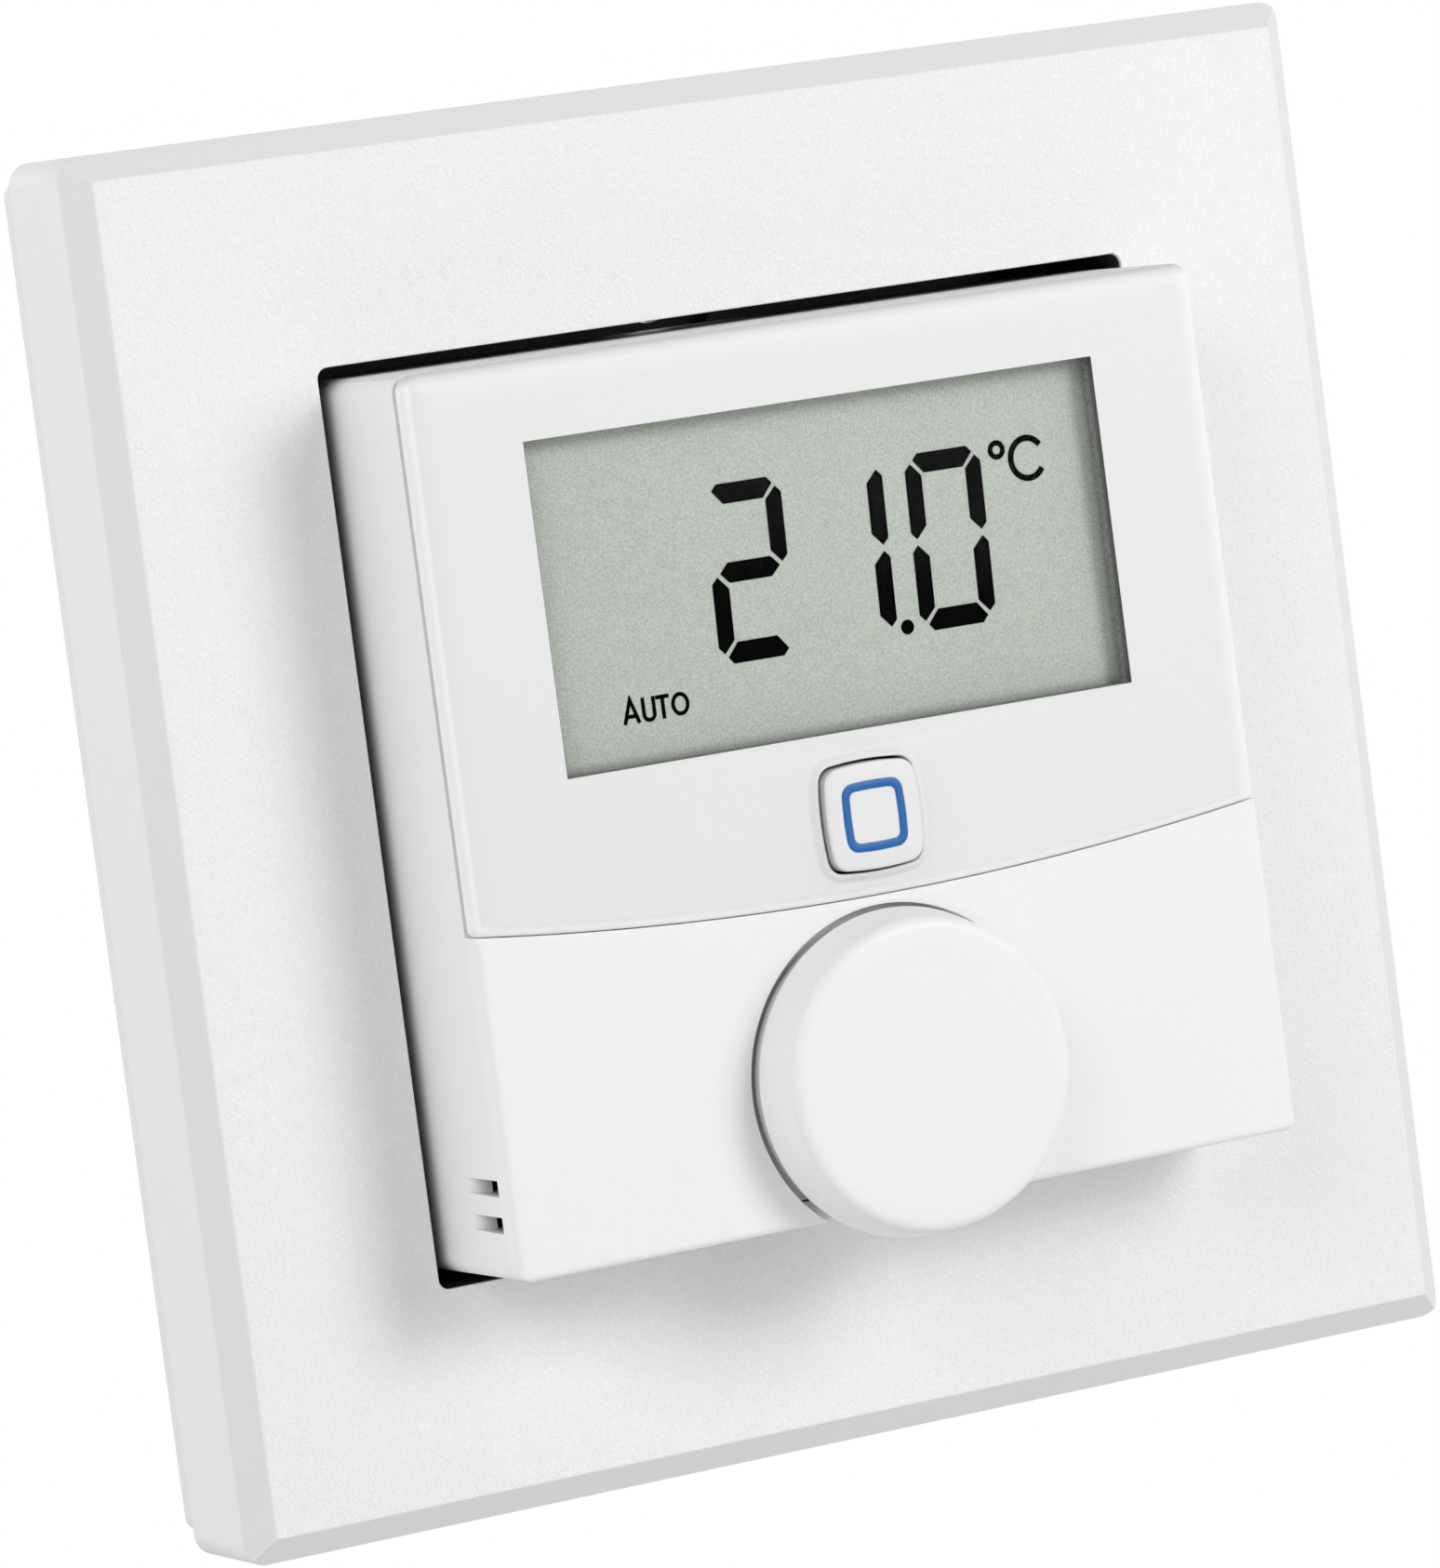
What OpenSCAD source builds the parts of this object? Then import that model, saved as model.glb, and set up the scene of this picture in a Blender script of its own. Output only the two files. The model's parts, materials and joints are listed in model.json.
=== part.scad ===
// Wall thermostat: a 55 mm electronic unit in a clip-on cover frame, on a mounting plate.
// X points right and Z up as seen from the room. -Y points out of the wall, into the room.
// The origin is the centre of the mounting plate's rear face, which lies on the wall.
// A value whose name ends in _out is a distance from the wall, measured along -Y.

/* [Cover frame] */
// Width and height of the cover frame
frame_w = 86; // [84:0.5:92]
// Front face of the frame, from the wall
frame_out = 12.5; // [11.5:0.1:14]
// Rear edge of the frame's outer wall, from the wall
frame_rear_out = 3.55; // [3.2:0.05:4]
// Radius of the frame's four side edges
frame_corner_r = 1.4; // [1:0.1:2.5]
// Width of the bevel round the front face
bevel_w = 1.675; // [0.8:0.025:2.5]
// Depth of the bevel
bevel_d = 1.43; // [0.8:0.01:2.2]
// Outer wall
frame_wall = 1.6; // [1.3:0.1:2]
// Thickness of the frame's face
frame_face_t = 2; // [1.5:0.1:2.5]
// Lip that clips over the mounting plate's rim
lip_t = 1; // [0.8:0.05:1.2]
// Collar round the opening
collar_t = 1.4; // [1:0.1:1.8]
// Inner corner radius of the opening
opening_r = 0.7; // [0.4:0.1:1.5]
// Gap between the opening and the electronic unit
opening_gap = 0.85; // [0.4:0.05:1.2]
// Thickness of the stiffening ribs
rib_t = 1.2; // [0.8:0.1:1.5]
// Distance of the long ribs from the frame's outer face
rib_inset = 7; // [6:0.1:8]
// Length of the long ribs
rib_len = 50; // [40:1:54]
// Distance between the short ribs on each side
short_rib_pitch = 28; // [20:1:40]

/* [Mounting plate] */
// Thickness of the plate's web
web_t = 1.6; // [1.4:0.1:1.9]
// Height of the raised land that the frame's collar stands on
land_out = 2.7; // [2.4:0.1:3]
// Inner width of the raised land
land_in_w = 52; // [48:0.5:53]
// Thickness of the rim
rim_t = 1.2; // [1:0.1:1.6]
// Top of the rim, from the wall
rim_out = 6.2; // [5.8:0.1:6.8]
// Distance between opposite screw slots, for a standard flush box
box_pitch = 60; // [58:0.5:61]
// Half width of a box screw slot
slot_r = 1.8; // [1.6:0.1:2]
// End-to-end length of a box screw slot
slot_len = 4.1; // [3.9:0.1:5.4]
// Radius kept free for a screw head
head_room_r = 4.2; // [3.5:0.1:4.4]
// Height kept free above the web for a screw head
head_room_h = 3; // [2.5:0.1:3.6]
// Distance between the corner wall holes
wall_pitch = 71; // [69:0.5:73]
// Radius of a corner wall hole
wall_hole_r = 1.75; // [1.5:0.05:2.2]
// Clearance between the plate's rim and the frame's lip
rim_fit = 0.1; // [0.05:0.05:0.2]
// How far the snap noses on the rim stand out
nose_h = 0.35; // [0.2:0.05:0.4]
// Length of a snap nose
nose_len = 6; // [4:0.5:8]
// Distance between the two snap noses of a side
nose_pitch = 40; // [30:1:56]

/* [Latch tongues] */
// Width of a latch tongue
tongue_w = 7; // [5:0.5:9]
// Thickness of a latch tongue
tongue_t = 1.3; // [1:0.1:1.6]
// Top of a latch tongue, from the wall
tongue_out = 8.2; // [7.5:0.1:9]
// Barb on a latch tongue
barb_h = 0.6; // [0.4:0.05:0.8]
// Distance between the left and right tongues
tongue_pitch_x = 26; // [22:1:30]
// Distance between the upper and lower tongues
tongue_pitch_z = 39.2; // [38:0.2:41]
// Clearance of a tongue in its opening
tongue_fit = 0.3; // [0.2:0.05:0.5]

/* [Electronic unit] */
// Width and height of the electronic unit
unit_w = 55.1; // [55:0.1:57]
// Corner radius of the unit
unit_r = 1.1; // [0.8:0.1:1.4]
// Front face of the unit, from the wall
unit_out = 22.3; // [22:0.1:23]
// Parting line between the housing and the front, from the wall
part_out = 20.8; // [20.6:0.1:21]
// Wall thickness of the housing
shell_t = 1.4; // [1.2:0.1:1.5]
// Gap between the plate's land and the unit's back
unit_gap = 0.3; // [0.2:0.05:0.5]
// Play of parts that drop into the housing
drop_fit = 0.1; // [0.05:0.05:0.2]
// Height of the vent slots
vent_h = 0.95; // [0.7:0.05:1.2]
// Distance between the vent slots
vent_pitch = 2.25; // [1.8:0.05:3]
// Height of the vents' middle
vent_z = -22.9; // [-23.5:0.1:-18]
// Length of a vent's sloping floor
vent_len = 4.3; // [3:0.1:6]
// Depth of a vent's sloping floor at its deep end
vent_d = 0.9; // [0.5:0.1:1]
// Length of a vent's mouth, where it passes through the wall
vent_mouth = 2.6; // [2:0.1:2.8]

/* [Front] */
// Lowest point of the curved split between display cover and front panel
split_mid = -8.1; // [-8.2:0.1:-7.8]
// Rise of the split from its middle to the unit's sides
split_rise = 1.8; // [1:0.1:3]
// Gap along the split
split_gap = 0.15; // [0.1:0.05:0.3]
// Thickness of the panel behind the front
panel_t = 1.3; // [1:0.1:1.5]
// Face of the clear display cover
clear_t = 0.5; // [0.4:0.05:0.7]
// Width of the clear cover's steep edge
edge_w = 0.5; // [0.3:0.05:0.6]
// Depth of the steep edge, with the sloping margin
edge_d = 0.45; // [0.3:0.05:0.6]
// Width of the sloping margin
margin_w = 1.4; // [0.8:0.1:2]
// Depth of the sloping margin
margin_d = 0.12; // [0.05:0.01:0.2]
// Radius of the front panel's outer edges
panel_edge_r = 0.45; // [0.2:0.05:0.5]
// Chamfer along the front panel's curved top edge
split_chamfer = 0.35; // [0.2:0.05:0.5]
// Width of the clear rim round the white mask
clear_rim = 0.65; // [0.5:0.05:0.9]
// Height of the shadow groove behind the clear cover's rim
groove_h = 0.45; // [0.4:0.05:0.85]
// Thickness of the white mask round the display window
mask_lip_t = 0.3; // [0.2:0.05:0.4]
// Border of the display glass hidden beside the display window
window_side = 1.42; // [1:0.02:2]
// Border of the display glass hidden above and below the display window
window_edge = 0.875; // [0.6:0.025:1.5]
// Height of the display window's middle
window_z = 12.34; // [12.2:0.01:12.5]

/* [Control wheel] */
// Radius of the wheel's skirt
wheel_r = 10.2; // [9:0.05:10.3]
// Radius of the wheel at its front
wheel_front_r = 9.75; // [8.5:0.05:10]
// Radius of the wheel's front edge
wheel_edge_r = 0.8; // [0.4:0.1:1.5]
// Front of the wheel, from the wall
wheel_out = 26.5; // [26:0.1:28]
// Height of the wheel's axis
wheel_z = -19.2; // [-19.4:0.1:-19]
// Gap between the wheel's skirt and the pocket's wall
wheel_gap = 0.25; // [0.15:0.05:0.4]
// Step from the skirt to the narrower neck
neck_step = 0.3; // [0.2:0.05:0.6]
// Wall of the wheel
wheel_wall = 1.4; // [1:0.1:2]
// Travel when the wheel is pushed
wheel_travel = 0.5; // [0.3:0.05:0.6]
// Clearance that stays when the wheel or the button is pushed home
stop_gap = 0.3; // [0.2:0.05:0.4]
// Radius of the encoder shaft
shaft_r = 3; // [2.5:0.1:3.2]
// Running clearance of the shaft
shaft_fit = 0.05; // [0.02:0.01:0.1]
// Radius of the encoder's bushing
bushing_r = 3.6; // [3.5:0.1:4]

/* [System button] */
// Width of the button cap
button_w = 6.6; // [5.5:0.05:6.65]
// Gap between the cap and its hole
button_gap = 0.3; // [0.2:0.05:0.35]
// How far the cap stands out of the display cover
button_proud = 0.85; // [0.4:0.05:1.2]
// Width of the raised collar's wall
button_collar_t = 0.42; // [0.3:0.02:0.6]
// How far the collar stands out of the display cover
button_collar_h = 0.3; // [0.1:0.05:0.4]
// Height of the button's middle
button_z = -3.2; // [-3.3:0.05:-3.15]
// Travel of the button
button_travel = 0.35; // [0.2:0.05:0.4]
// Outer width of the light ring
ring_w = 4.3; // [3.5:0.1:4.8]
// Width of the light ring's line
ring_t = 0.5; // [0.3:0.05:0.7]

/* [Battery bays] */
// Diameter of a battery
cell_d = 10.5; // [10:0.1:10.5]
// Length of a battery with its nub
cell_len = 44.5; // [43.5:0.1:44.5]
// Clearance round a battery
cell_fit = 0.3; // [0.2:0.05:0.3]
// Distance between the two batteries
cell_pitch = 12.2; // [12:0.1:12.6]
// Wall of the battery bays
bay_wall = 0.9; // [0.8:0.05:1]
// Room for a contact spring
spring_len = 3; // [2.6:0.1:3.2]
// Thickness of the contact plates
contact_t = 0.4; // [0.3:0.05:0.5]

/* [Circuit board and display] */
// Thickness of the circuit board
board_t = 1; // [0.8:0.1:1]
// Gap between the bays and the circuit board
board_gap = 0.2; // [0.1:0.05:0.3]
// Width of the display glass
lcd_w = 42.4; // [41.5:0.1:43]
// Height of the display glass
lcd_h = 22.2; // [21.8:0.1:22.4]
// Thickness of the display glass
lcd_t = 1.2; // [1:0.1:1.4]
// Thickness of the front polariser
polariser_t = 0.2; // [0.1:0.05:0.3]
// Thickness of the foam gasket
gasket_t = 0.8; // [0.6:0.05:1]
// Width of the foam gasket's strip
gasket_w = 0.75; // [0.5:0.05:0.85]
// Thickness of the reflector behind the display glass
reflector_t = 1; // [0.8:0.1:1.2]
// Thickness of the rubber contact strip
zebra_t = 1.6; // [1.2:0.1:2]
// Wall of the display holder
holder_wall = 0.75; // [0.6:0.05:0.8]
// Play of the display glass in its holder
lcd_fit = 0.1; // [0.05:0.05:0.15]

/* [Electronics] */
// Width of the encoder's body
encoder_w = 11.5; // [10:0.5:12]
// Width of the push switch
switch_w = 4.4; // [4:0.1:5]
// Width of the controller chip
chip_w = 7; // [6:0.5:8]
// Thickness of the controller chip
chip_t = 0.9; // [0.7:0.1:1.2]
// Width of the radio module
radio_w = 9; // [7:0.5:10]
// Height of the radio module
radio_h = 11; // [9:0.5:12]
// Thickness of the radio module
radio_t = 2; // [1.5:0.1:2.4]
// Radius of the antenna wire
antenna_r = 0.4; // [0.3:0.05:0.5]
// Gap between the antenna and the circuit board
antenna_gap = 1.5; // [1:0.1:2]
// Width of the quartz crystal
crystal_w = 5; // [4:0.5:6]
// Thickness of the quartz crystal
crystal_t = 1.2; // [1:0.1:1.6]
// Radius of a capacitor
cap_r = 2; // [1.5:0.1:2.2]
// Length of a capacitor
cap_len = 5; // [4:0.5:6]
// Distance between the capacitors
cap_pitch = 8; // [5:0.5:9]
// Width of the humidity sensor
sensor_w = 2.6; // [2:0.1:3]
// Width of a status light
led_w = 1; // [0.8:0.1:1.2]

/* [Case screws] */
// Radius of a case screw's shank
screw_r = 0.9; // [0.8:0.05:1]
// Length of a case screw's shank
screw_len = 9; // [7:0.5:10]
// Radius of a case screw's head
screw_head_r = 1.6; // [1.4:0.05:1.7]
// Height of a case screw's head
screw_head_h = 1.2; // [0.8:0.1:1.4]
// Wall of the screw bosses
boss_wall = 0.9; // [0.8:0.05:1]

/* [Hidden] */
$fn = 64;

// Cover frame and mounting plate
opening_w = unit_w + 2 * opening_gap;
collar_w = opening_w + 2 * collar_t;
cavity_w = frame_w - 2 * frame_wall;
rebate_w = frame_w - 2 * lip_t;
rib_w = frame_w - 2 * rib_inset;
plate_w = rebate_w - 2 * rim_fit;
plate_r = frame_corner_r - lip_t / 2;
land_w = collar_w + 2 * rim_fit + 1.4;
nose_out = (frame_rear_out + rim_out) / 2;
nose_t = 0.8;

// Electronic unit, from back to front
unit_rear_out = land_out + unit_gap;
inner_w = unit_w - 2 * shell_t;
inner_r = unit_r / 2;
cell_r = cell_d / 2;
bay_r = cell_r + cell_fit;
bay_len = cell_len + spring_len + 2 * contact_t + cell_fit;
cell_out = unit_rear_out + cell_fit + cell_r;
bay_floor_out = cell_out + bay_r + bay_wall;
board_rear_out = bay_floor_out + board_gap;
board_out = board_rear_out + board_t;
board_w = inner_w - 2 * drop_fit;
window_w = lcd_w - 2 * window_side;
window_h = lcd_h - 2 * window_edge;
panel_rear_out = part_out - panel_t;
shelf_out = part_out + 0.2;
mask_out = unit_out - clear_t;
gasket_out = mask_out - mask_lip_t;
glass_out = gasket_out - gasket_t - polariser_t;
reflector_out = glass_out - lcd_t;
holder_w = lcd_w + 2 * (lcd_fit + holder_wall);
holder_h = lcd_h + 2 * (lcd_fit + holder_wall);

// Curved split of the front
split_r = (pow(unit_w / 2, 2) + pow(split_rise, 2)) / (2 * split_rise);
split_z = split_mid + split_r;
cover_w = unit_w - 2 * clear_rim;

// Case screws
boss_r = screw_r + boss_wall;
boss_at = inner_w / 2 - boss_r - drop_fit / 2;
column_r = screw_head_r + 0.8;
head_seat_out = unit_rear_out + shell_t + 0.7;
column_out = head_seat_out + 3;
screw_fit = 0.02;

// Places on the circuit board
board_corner = board_w / 2 - boss_at + boss_r + 0.3;
side_x = (encoder_w + board_w) / 4;
side_z = (wheel_z + button_z) / 2;
antenna_x = board_w / 2 - 4 * antenna_r;
antenna_low = board_corner + 3 * antenna_r - board_w / 2;
antenna_high = window_z - holder_h / 2 - 4 * antenna_r;
sensor_x = sensor_w - board_w / 2;
sensor_z = vent_z + 2 * vent_pitch;

// Wheel, encoder and button
pocket_r = wheel_r + wheel_gap;
neck_r = wheel_r - neck_step;
neck_out = part_out + stop_gap + wheel_travel;
skirt_out = unit_out + wheel_travel;
hub_r = shaft_r + 2;
shaft_out = wheel_out - wheel_wall - 0.5;
flat_at = shaft_r * 0.8;
encoder_out = panel_rear_out - 0.3;
pin_out = board_out + 0.3 + stop_gap + wheel_travel;
pin_t = 0.8;
pin_spigot_r = 1;
button_out = unit_out + button_proud;
button_hole_w = button_w + 2 * button_gap;
button_collar_w = button_hole_w + 2 * button_collar_t;
button_bulge_r = 20;
button_corner_r = 1.2;
button_flange_out = panel_rear_out - stop_gap;
button_flange_t = 0.8;
ring_depth = 1.2;
ring_mid = (ring_w - ring_t) / 2;
switch_out = button_flange_out - button_flange_t - button_travel - stop_gap;
plunger_r = 1;

// ---- Shapes that repeat ----

// Extrudes a front view (X across, Z up) from back_out to front_out
module slab(back_out, front_out) {
    translate([0, -back_out, 0]) rotate([90, 0, 0])
        linear_extrude(front_out - back_out) children();
}

// Cylinder along Y at (x, z)
module post(x, z, r, back_out, front_out) {
    translate([x, -back_out, z]) rotate([90, 0, 0]) cylinder(h = front_out - back_out, r = r);
}

// Extrudes a profile of [-out, z] points along X
module run_x(len) {
    rotate([90, 0, 90]) linear_extrude(len, center = true) children();
}

// Revolves a profile of [radius, out] points about the Y axis at height z
module turned(z, sides = $fn) {
    translate([0, 0, z]) rotate([90, 0, 0]) rotate_extrude($fn = sides) children();
}

module rounded(w, h, r) {
    square([w - 2 * r, h], center = true);
    square([w, h - 2 * r], center = true);
    for (x = [-1, 1], z = [-1, 1])
        translate([x * (w / 2 - r), z * (h / 2 - r)]) circle(r);
}

module ring(outer_w, inner_w) {
    difference() {
        square(outer_w, center = true);
        square(inner_w, center = true);
    }
}

module four_sides() {
    for (side = [0:3]) rotate([0, 90 * side, 0]) children();
}

module at_corners(x, z) {
    for (sx = [-1, 1], sz = [-1, 1]) translate([sx * x, 0, sz * z]) children();
}

// Bulged square with round corners: four shallow arcs joined by four corner arcs
function bulged_corner(half_w, big_r, r) =
    let (k = big_r - half_w) (sqrt(2 * pow(big_r - r, 2) - k * k) - k) / 2;

function bulged_quarter(half_w, big_r, r) =
    let (k = big_r - half_w, c = bulged_corner(half_w, big_r, r), b = atan2(c, c + k))
    concat(
        [for (i = [0:4]) let (a = b * (i / 2 - 1)) [big_r * cos(a) - k, big_r * sin(a)]],
        [for (i = [1:6]) let (a = b + (90 - 2 * b) * i / 7) [c + r * cos(a), c + r * sin(a)]]);

function turn(p, a) = [p[0] * cos(a) - p[1] * sin(a), p[0] * sin(a) + p[1] * cos(a)];

module bulged_square(w, r) {
    polygon([for (q = [0:3], p = bulged_quarter(w / 2, button_bulge_r, r)) turn(p, 90 * q)]);
}

module at_button() {
    translate([0, button_z]) children();
}

module above_split(gap) {
    translate([0, split_z]) circle(split_r - gap, $fn = 720);
}

module upper_outline(w, gap) {
    intersection() {
        rounded(w, w, unit_r - (unit_w - w) / 4);
        above_split(gap);
    }
}

module lower_outline() {
    difference() {
        rounded(unit_w, unit_w, unit_r);
        above_split(-split_gap);
    }
}

module window_outline(margin) {
    translate([0, window_z]) square([window_w + 2 * margin, window_h + 2 * margin], center = true);
}

module display_outline(w, h) {
    translate([0, window_z]) square([w, h], center = true);
}

// ---- Fixed to the wall ----

module box_slots(r, len, back_out, front_out) {
    four_sides() slab(back_out, front_out) for (x = [-1, 1])
        translate([box_pitch / 2 + x * (len / 2 - r), 0]) circle(r);
    four_sides() slab(back_out, front_out)
        translate([box_pitch / 2, 0]) square([len - 2 * r, 2 * r], center = true);
}

module latch_tongue() {
    slab(web_t / 2, tongue_out) square([tongue_w, tongue_t], center = true);
    run_x(tongue_w) polygon([
        [-(tongue_out - 2.2), tongue_t / 2 - 0.01], [-(tongue_out - 2.2), tongue_t / 2],
        [-(tongue_out - 1.6), tongue_t / 2 + barb_h], [-(tongue_out - 1.2), tongue_t / 2 + barb_h],
        [-tongue_out, tongue_t / 2], [-tongue_out, tongue_t / 2 - 0.01]]);
}

module latch_tongues() {
    for (x = [-1, 1]) {
        translate([x * tongue_pitch_x / 2, 0, tongue_pitch_z / 2]) latch_tongue();
        translate([x * tongue_pitch_x / 2, 0, -tongue_pitch_z / 2]) mirror([0, 0, 1])
            latch_tongue();
    }
}

// Blocks for the snap noses, and with a clearance for their pockets
module snap_noses(proud, fit) {
    four_sides() for (z = [-1, 1]) translate([plate_w / 2, -nose_out, z * nose_pitch / 2])
        cube([2 * proud, nose_t + 2 * fit, nose_len + 2 * fit], center = true);
}

module mounting_plate() {
    color("whitesmoke") difference() {
        union() {
            slab(0, web_t) rounded(plate_w, plate_w, plate_r);
            slab(0, rim_out) difference() {
                rounded(plate_w, plate_w, plate_r);
                rounded(plate_w - 2 * rim_t, plate_w - 2 * rim_t, plate_r / 2);
            }
            slab(0, land_out) ring(land_w, land_in_w);
            for (x = [-1, 1]) slab(0, land_out) translate([x * land_in_w / 6, 0])
                square([rib_t, land_in_w + 1], center = true);
            slab(0, land_out) translate([0, window_z / 2]) polygon([[-3, 0], [3, 0], [0, 5]]);
            latch_tongues();
            snap_noses(nose_h, 0);
        }
        box_slots(slot_r, slot_len, -1, land_out + 1);
        four_sides() post(box_pitch / 2, 0, head_room_r, web_t, land_out + 1);
        at_corners(wall_pitch / 2, wall_pitch / 2) post(0, 0, wall_hole_r, -1, land_out + 1);
    }
}

module bevelled_profile() {
    polygon([[-frame_w / 2, -frame_rear_out], [frame_w / 2, -frame_rear_out],
        [frame_w / 2, bevel_d - frame_out], [frame_w / 2 - bevel_w, -frame_out],
        [bevel_w - frame_w / 2, -frame_out], [-frame_w / 2, bevel_d - frame_out]]);
}

module frame_skin() {
    intersection() {
        slab(frame_rear_out, frame_out) rounded(frame_w, frame_w, frame_corner_r);
        linear_extrude(frame_w, center = true) bevelled_profile();
        rotate([0, 90, 0]) linear_extrude(frame_w, center = true) bevelled_profile();
    }
}

module frame_ribs() {
    face_back = frame_out - frame_face_t;
    four_sides() slab(web_t, face_back + 0.5)
        translate([rib_w / 2, 0]) square([rib_t, rib_len], center = true);
    slab(rim_out + 0.6, face_back + 0.5) {
        ring(rib_w + rib_t, rib_w - rib_t);
        for (a = [0:90:270], z = [-1, 1]) rotate(a)
            translate([(collar_w + cavity_w) / 4, z * short_rib_pitch / 2])
                square([(cavity_w - collar_w) / 2 + 1, rib_t], center = true);
    }
}

module cover_frame() {
    color("white") difference() {
        union() {
            difference() {
                frame_skin();
                slab(frame_rear_out - 1, frame_out - frame_face_t)
                    rounded(cavity_w, cavity_w, frame_corner_r / 2);
                slab(frame_rear_out - 1, rim_out + 0.15) rounded(rebate_w, rebate_w, plate_r);
            }
            slab(land_out, frame_out - frame_face_t + 0.5)
                rounded(collar_w, collar_w, opening_r + collar_t / 2);
            frame_ribs();
        }
        slab(0, frame_out + 1) rounded(opening_w, opening_w, opening_r);
        four_sides() translate([box_pitch / 2, -web_t, 0])
            cube([2 * head_room_r, 2 * head_room_h, 2 * head_room_r], center = true);
        snap_noses(nose_h + 2 * rim_fit, rim_fit);
    }
}

// ---- Electronic unit ----

module cell_bay(z) {
    slab(unit_rear_out - 1, cell_out) translate([0, z])
        square([bay_len, 2 * bay_r], center = true);
    translate([-bay_len / 2, -cell_out, z]) rotate([0, 90, 0]) cylinder(h = bay_len, r = bay_r);
    for (x = [-1, 1]) translate([x * (bay_len - contact_t) / 2, 0, z])
        slab(unit_rear_out - 1, cell_out + cell_r)
            square([contact_t, cell_d - 2], center = true);
}

// Slots with a sloping floor, and an undercut mouth through the wall at their deep end
module vent_slots() {
    half = unit_w / 2;
    through = shell_t + 0.05;
    for (s = [-1, 1]) translate([-half, -part_out, vent_z + s * vent_pitch / 2])
        linear_extrude(vent_h, center = true) polygon([
            [-1, 0], [through, 0], [through, vent_mouth + 2 * (through - vent_d)],
            [vent_d, vent_mouth], [0, vent_len], [-1, vent_len]]);
}

module latch_openings(back_out, front_out) {
    for (x = [-1, 1], s = [-1, 1])
        slab(back_out, front_out)
            translate([x * tongue_pitch_x / 2, s * (tongue_pitch_z + barb_h) / 2])
                square([tongue_w + 2 * tongue_fit, tongue_t + barb_h + 2 * tongue_fit],
                    center = true);
}

tab_w = 1.4;
tab_play = 0.3;

// Ways for the contact tabs, drawn out sideways by reach
module contact_slots(back_out, front_out, reach) {
    w = contact_t + tab_play + reach;
    for (x = [-1, 1], z = [-1, 1])
        slab(back_out, front_out)
            translate([x * ((bay_len - contact_t + reach) / 2), z * cell_pitch / 2])
                square([w, tab_w + tab_play], center = true);
}

module unit_housing() {
    color("white") difference() {
        union() {
            difference() {
                slab(unit_rear_out, part_out) rounded(unit_w, unit_w, unit_r);
                slab(unit_rear_out + shell_t, part_out + 1) rounded(inner_w, inner_w, inner_r);
            }
            slab(unit_rear_out, bay_floor_out)
                square([inner_w + 1, cell_pitch + 2 * (bay_r + bay_wall)], center = true);
            at_corners(boss_at, boss_at) post(0, 0, column_r, unit_rear_out, column_out);
            at_corners(20, 18) post(0, 0, 1.6, unit_rear_out, board_rear_out);
            at_corners(20, 9) post(0, 0, 1.5, bay_floor_out - 0.2, board_rear_out);
        }
        for (s = [-1, 1]) cell_bay(s * cell_pitch / 2);
        latch_openings(unit_rear_out - 1, unit_rear_out + shell_t + 1);
        contact_slots(bay_floor_out - 2, board_out + 1, 0);
        at_corners(boss_at, boss_at) {
            post(0, 0, screw_head_r + 0.15, unit_rear_out - 1, head_seat_out);
            post(0, 0, screw_r + 0.25, unit_rear_out - 1, column_out + 1);
        }
        vent_slots();
    }
}

// Section across the unit's front, from the steps of its edge: [offset from the outline, out]
module edge_profile(steps) {
    polygon(concat([for (p = steps) [unit_w / 2 + p[0], -p[1]]],
        [for (i = [len(steps) - 1:-1:0]) [-unit_w / 2 - steps[i][0], -steps[i][1]]]));
}

// Steps of the front panel's round edge
function round_steps() = concat([[0, part_out]], [for (a = [0:22.5:90])
    [-panel_edge_r * (1 - cos(a)), unit_out - panel_edge_r * (1 - sin(a))]]);

module split_bevel() {
    r = split_r + split_gap;
    turned(split_z, 720) polygon([[r - 1, unit_out - split_chamfer], [r, unit_out - split_chamfer],
        [r + split_chamfer, unit_out], [r + split_chamfer, unit_out + 1], [r - 1, unit_out + 1]]);
}

// Recesses behind the panel beside the wheel, and a way for air from the vents
module panel_recesses() {
    for (s = [-1, 1]) translate([s * (pocket_r + 5.5), -panel_rear_out, wheel_z + 1])
        cube([7, 2 * panel_t, 12], center = true);
    translate([-inner_w / 2, -panel_rear_out, vent_z])
        cube([2 * shell_t, 2 * panel_t, vent_pitch + 2 * vent_h], center = true);
}

module front_panel() {
    color("white") difference() {
        union() {
            difference() {
                intersection() {
                    slab(part_out, unit_out) lower_outline();
                    linear_extrude(unit_w, center = true) edge_profile(round_steps());
                    rotate([0, 90, 0]) linear_extrude(unit_w, center = true)
                        edge_profile(round_steps());
                }
                split_bevel();
            }
            slab(panel_rear_out, part_out + 0.1)
                rounded(inner_w - 2 * drop_fit, inner_w - 2 * drop_fit, inner_r);
            slab(part_out, shelf_out) upper_outline(cover_w, split_gap);
            at_corners(boss_at, boss_at) post(0, 0, boss_r, column_out, panel_rear_out + 0.1);
        }
        slab(panel_rear_out - 1, unit_out)
            display_outline(lcd_w + 2 * lcd_fit, lcd_h + 2 * lcd_fit);
        slab(panel_rear_out - 1, unit_out) at_button()
            bulged_square(button_hole_w, button_corner_r);
        panel_recesses();
        post(0, wheel_z, pocket_r, part_out, unit_out + 1);
        post(0, wheel_z, bushing_r + 0.15, panel_rear_out - 1, unit_out);
        at_corners(boss_at, boss_at)
            post(0, 0, screw_r + screw_fit, column_out - 1, head_seat_out + screw_len + 0.5);
    }
}

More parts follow.
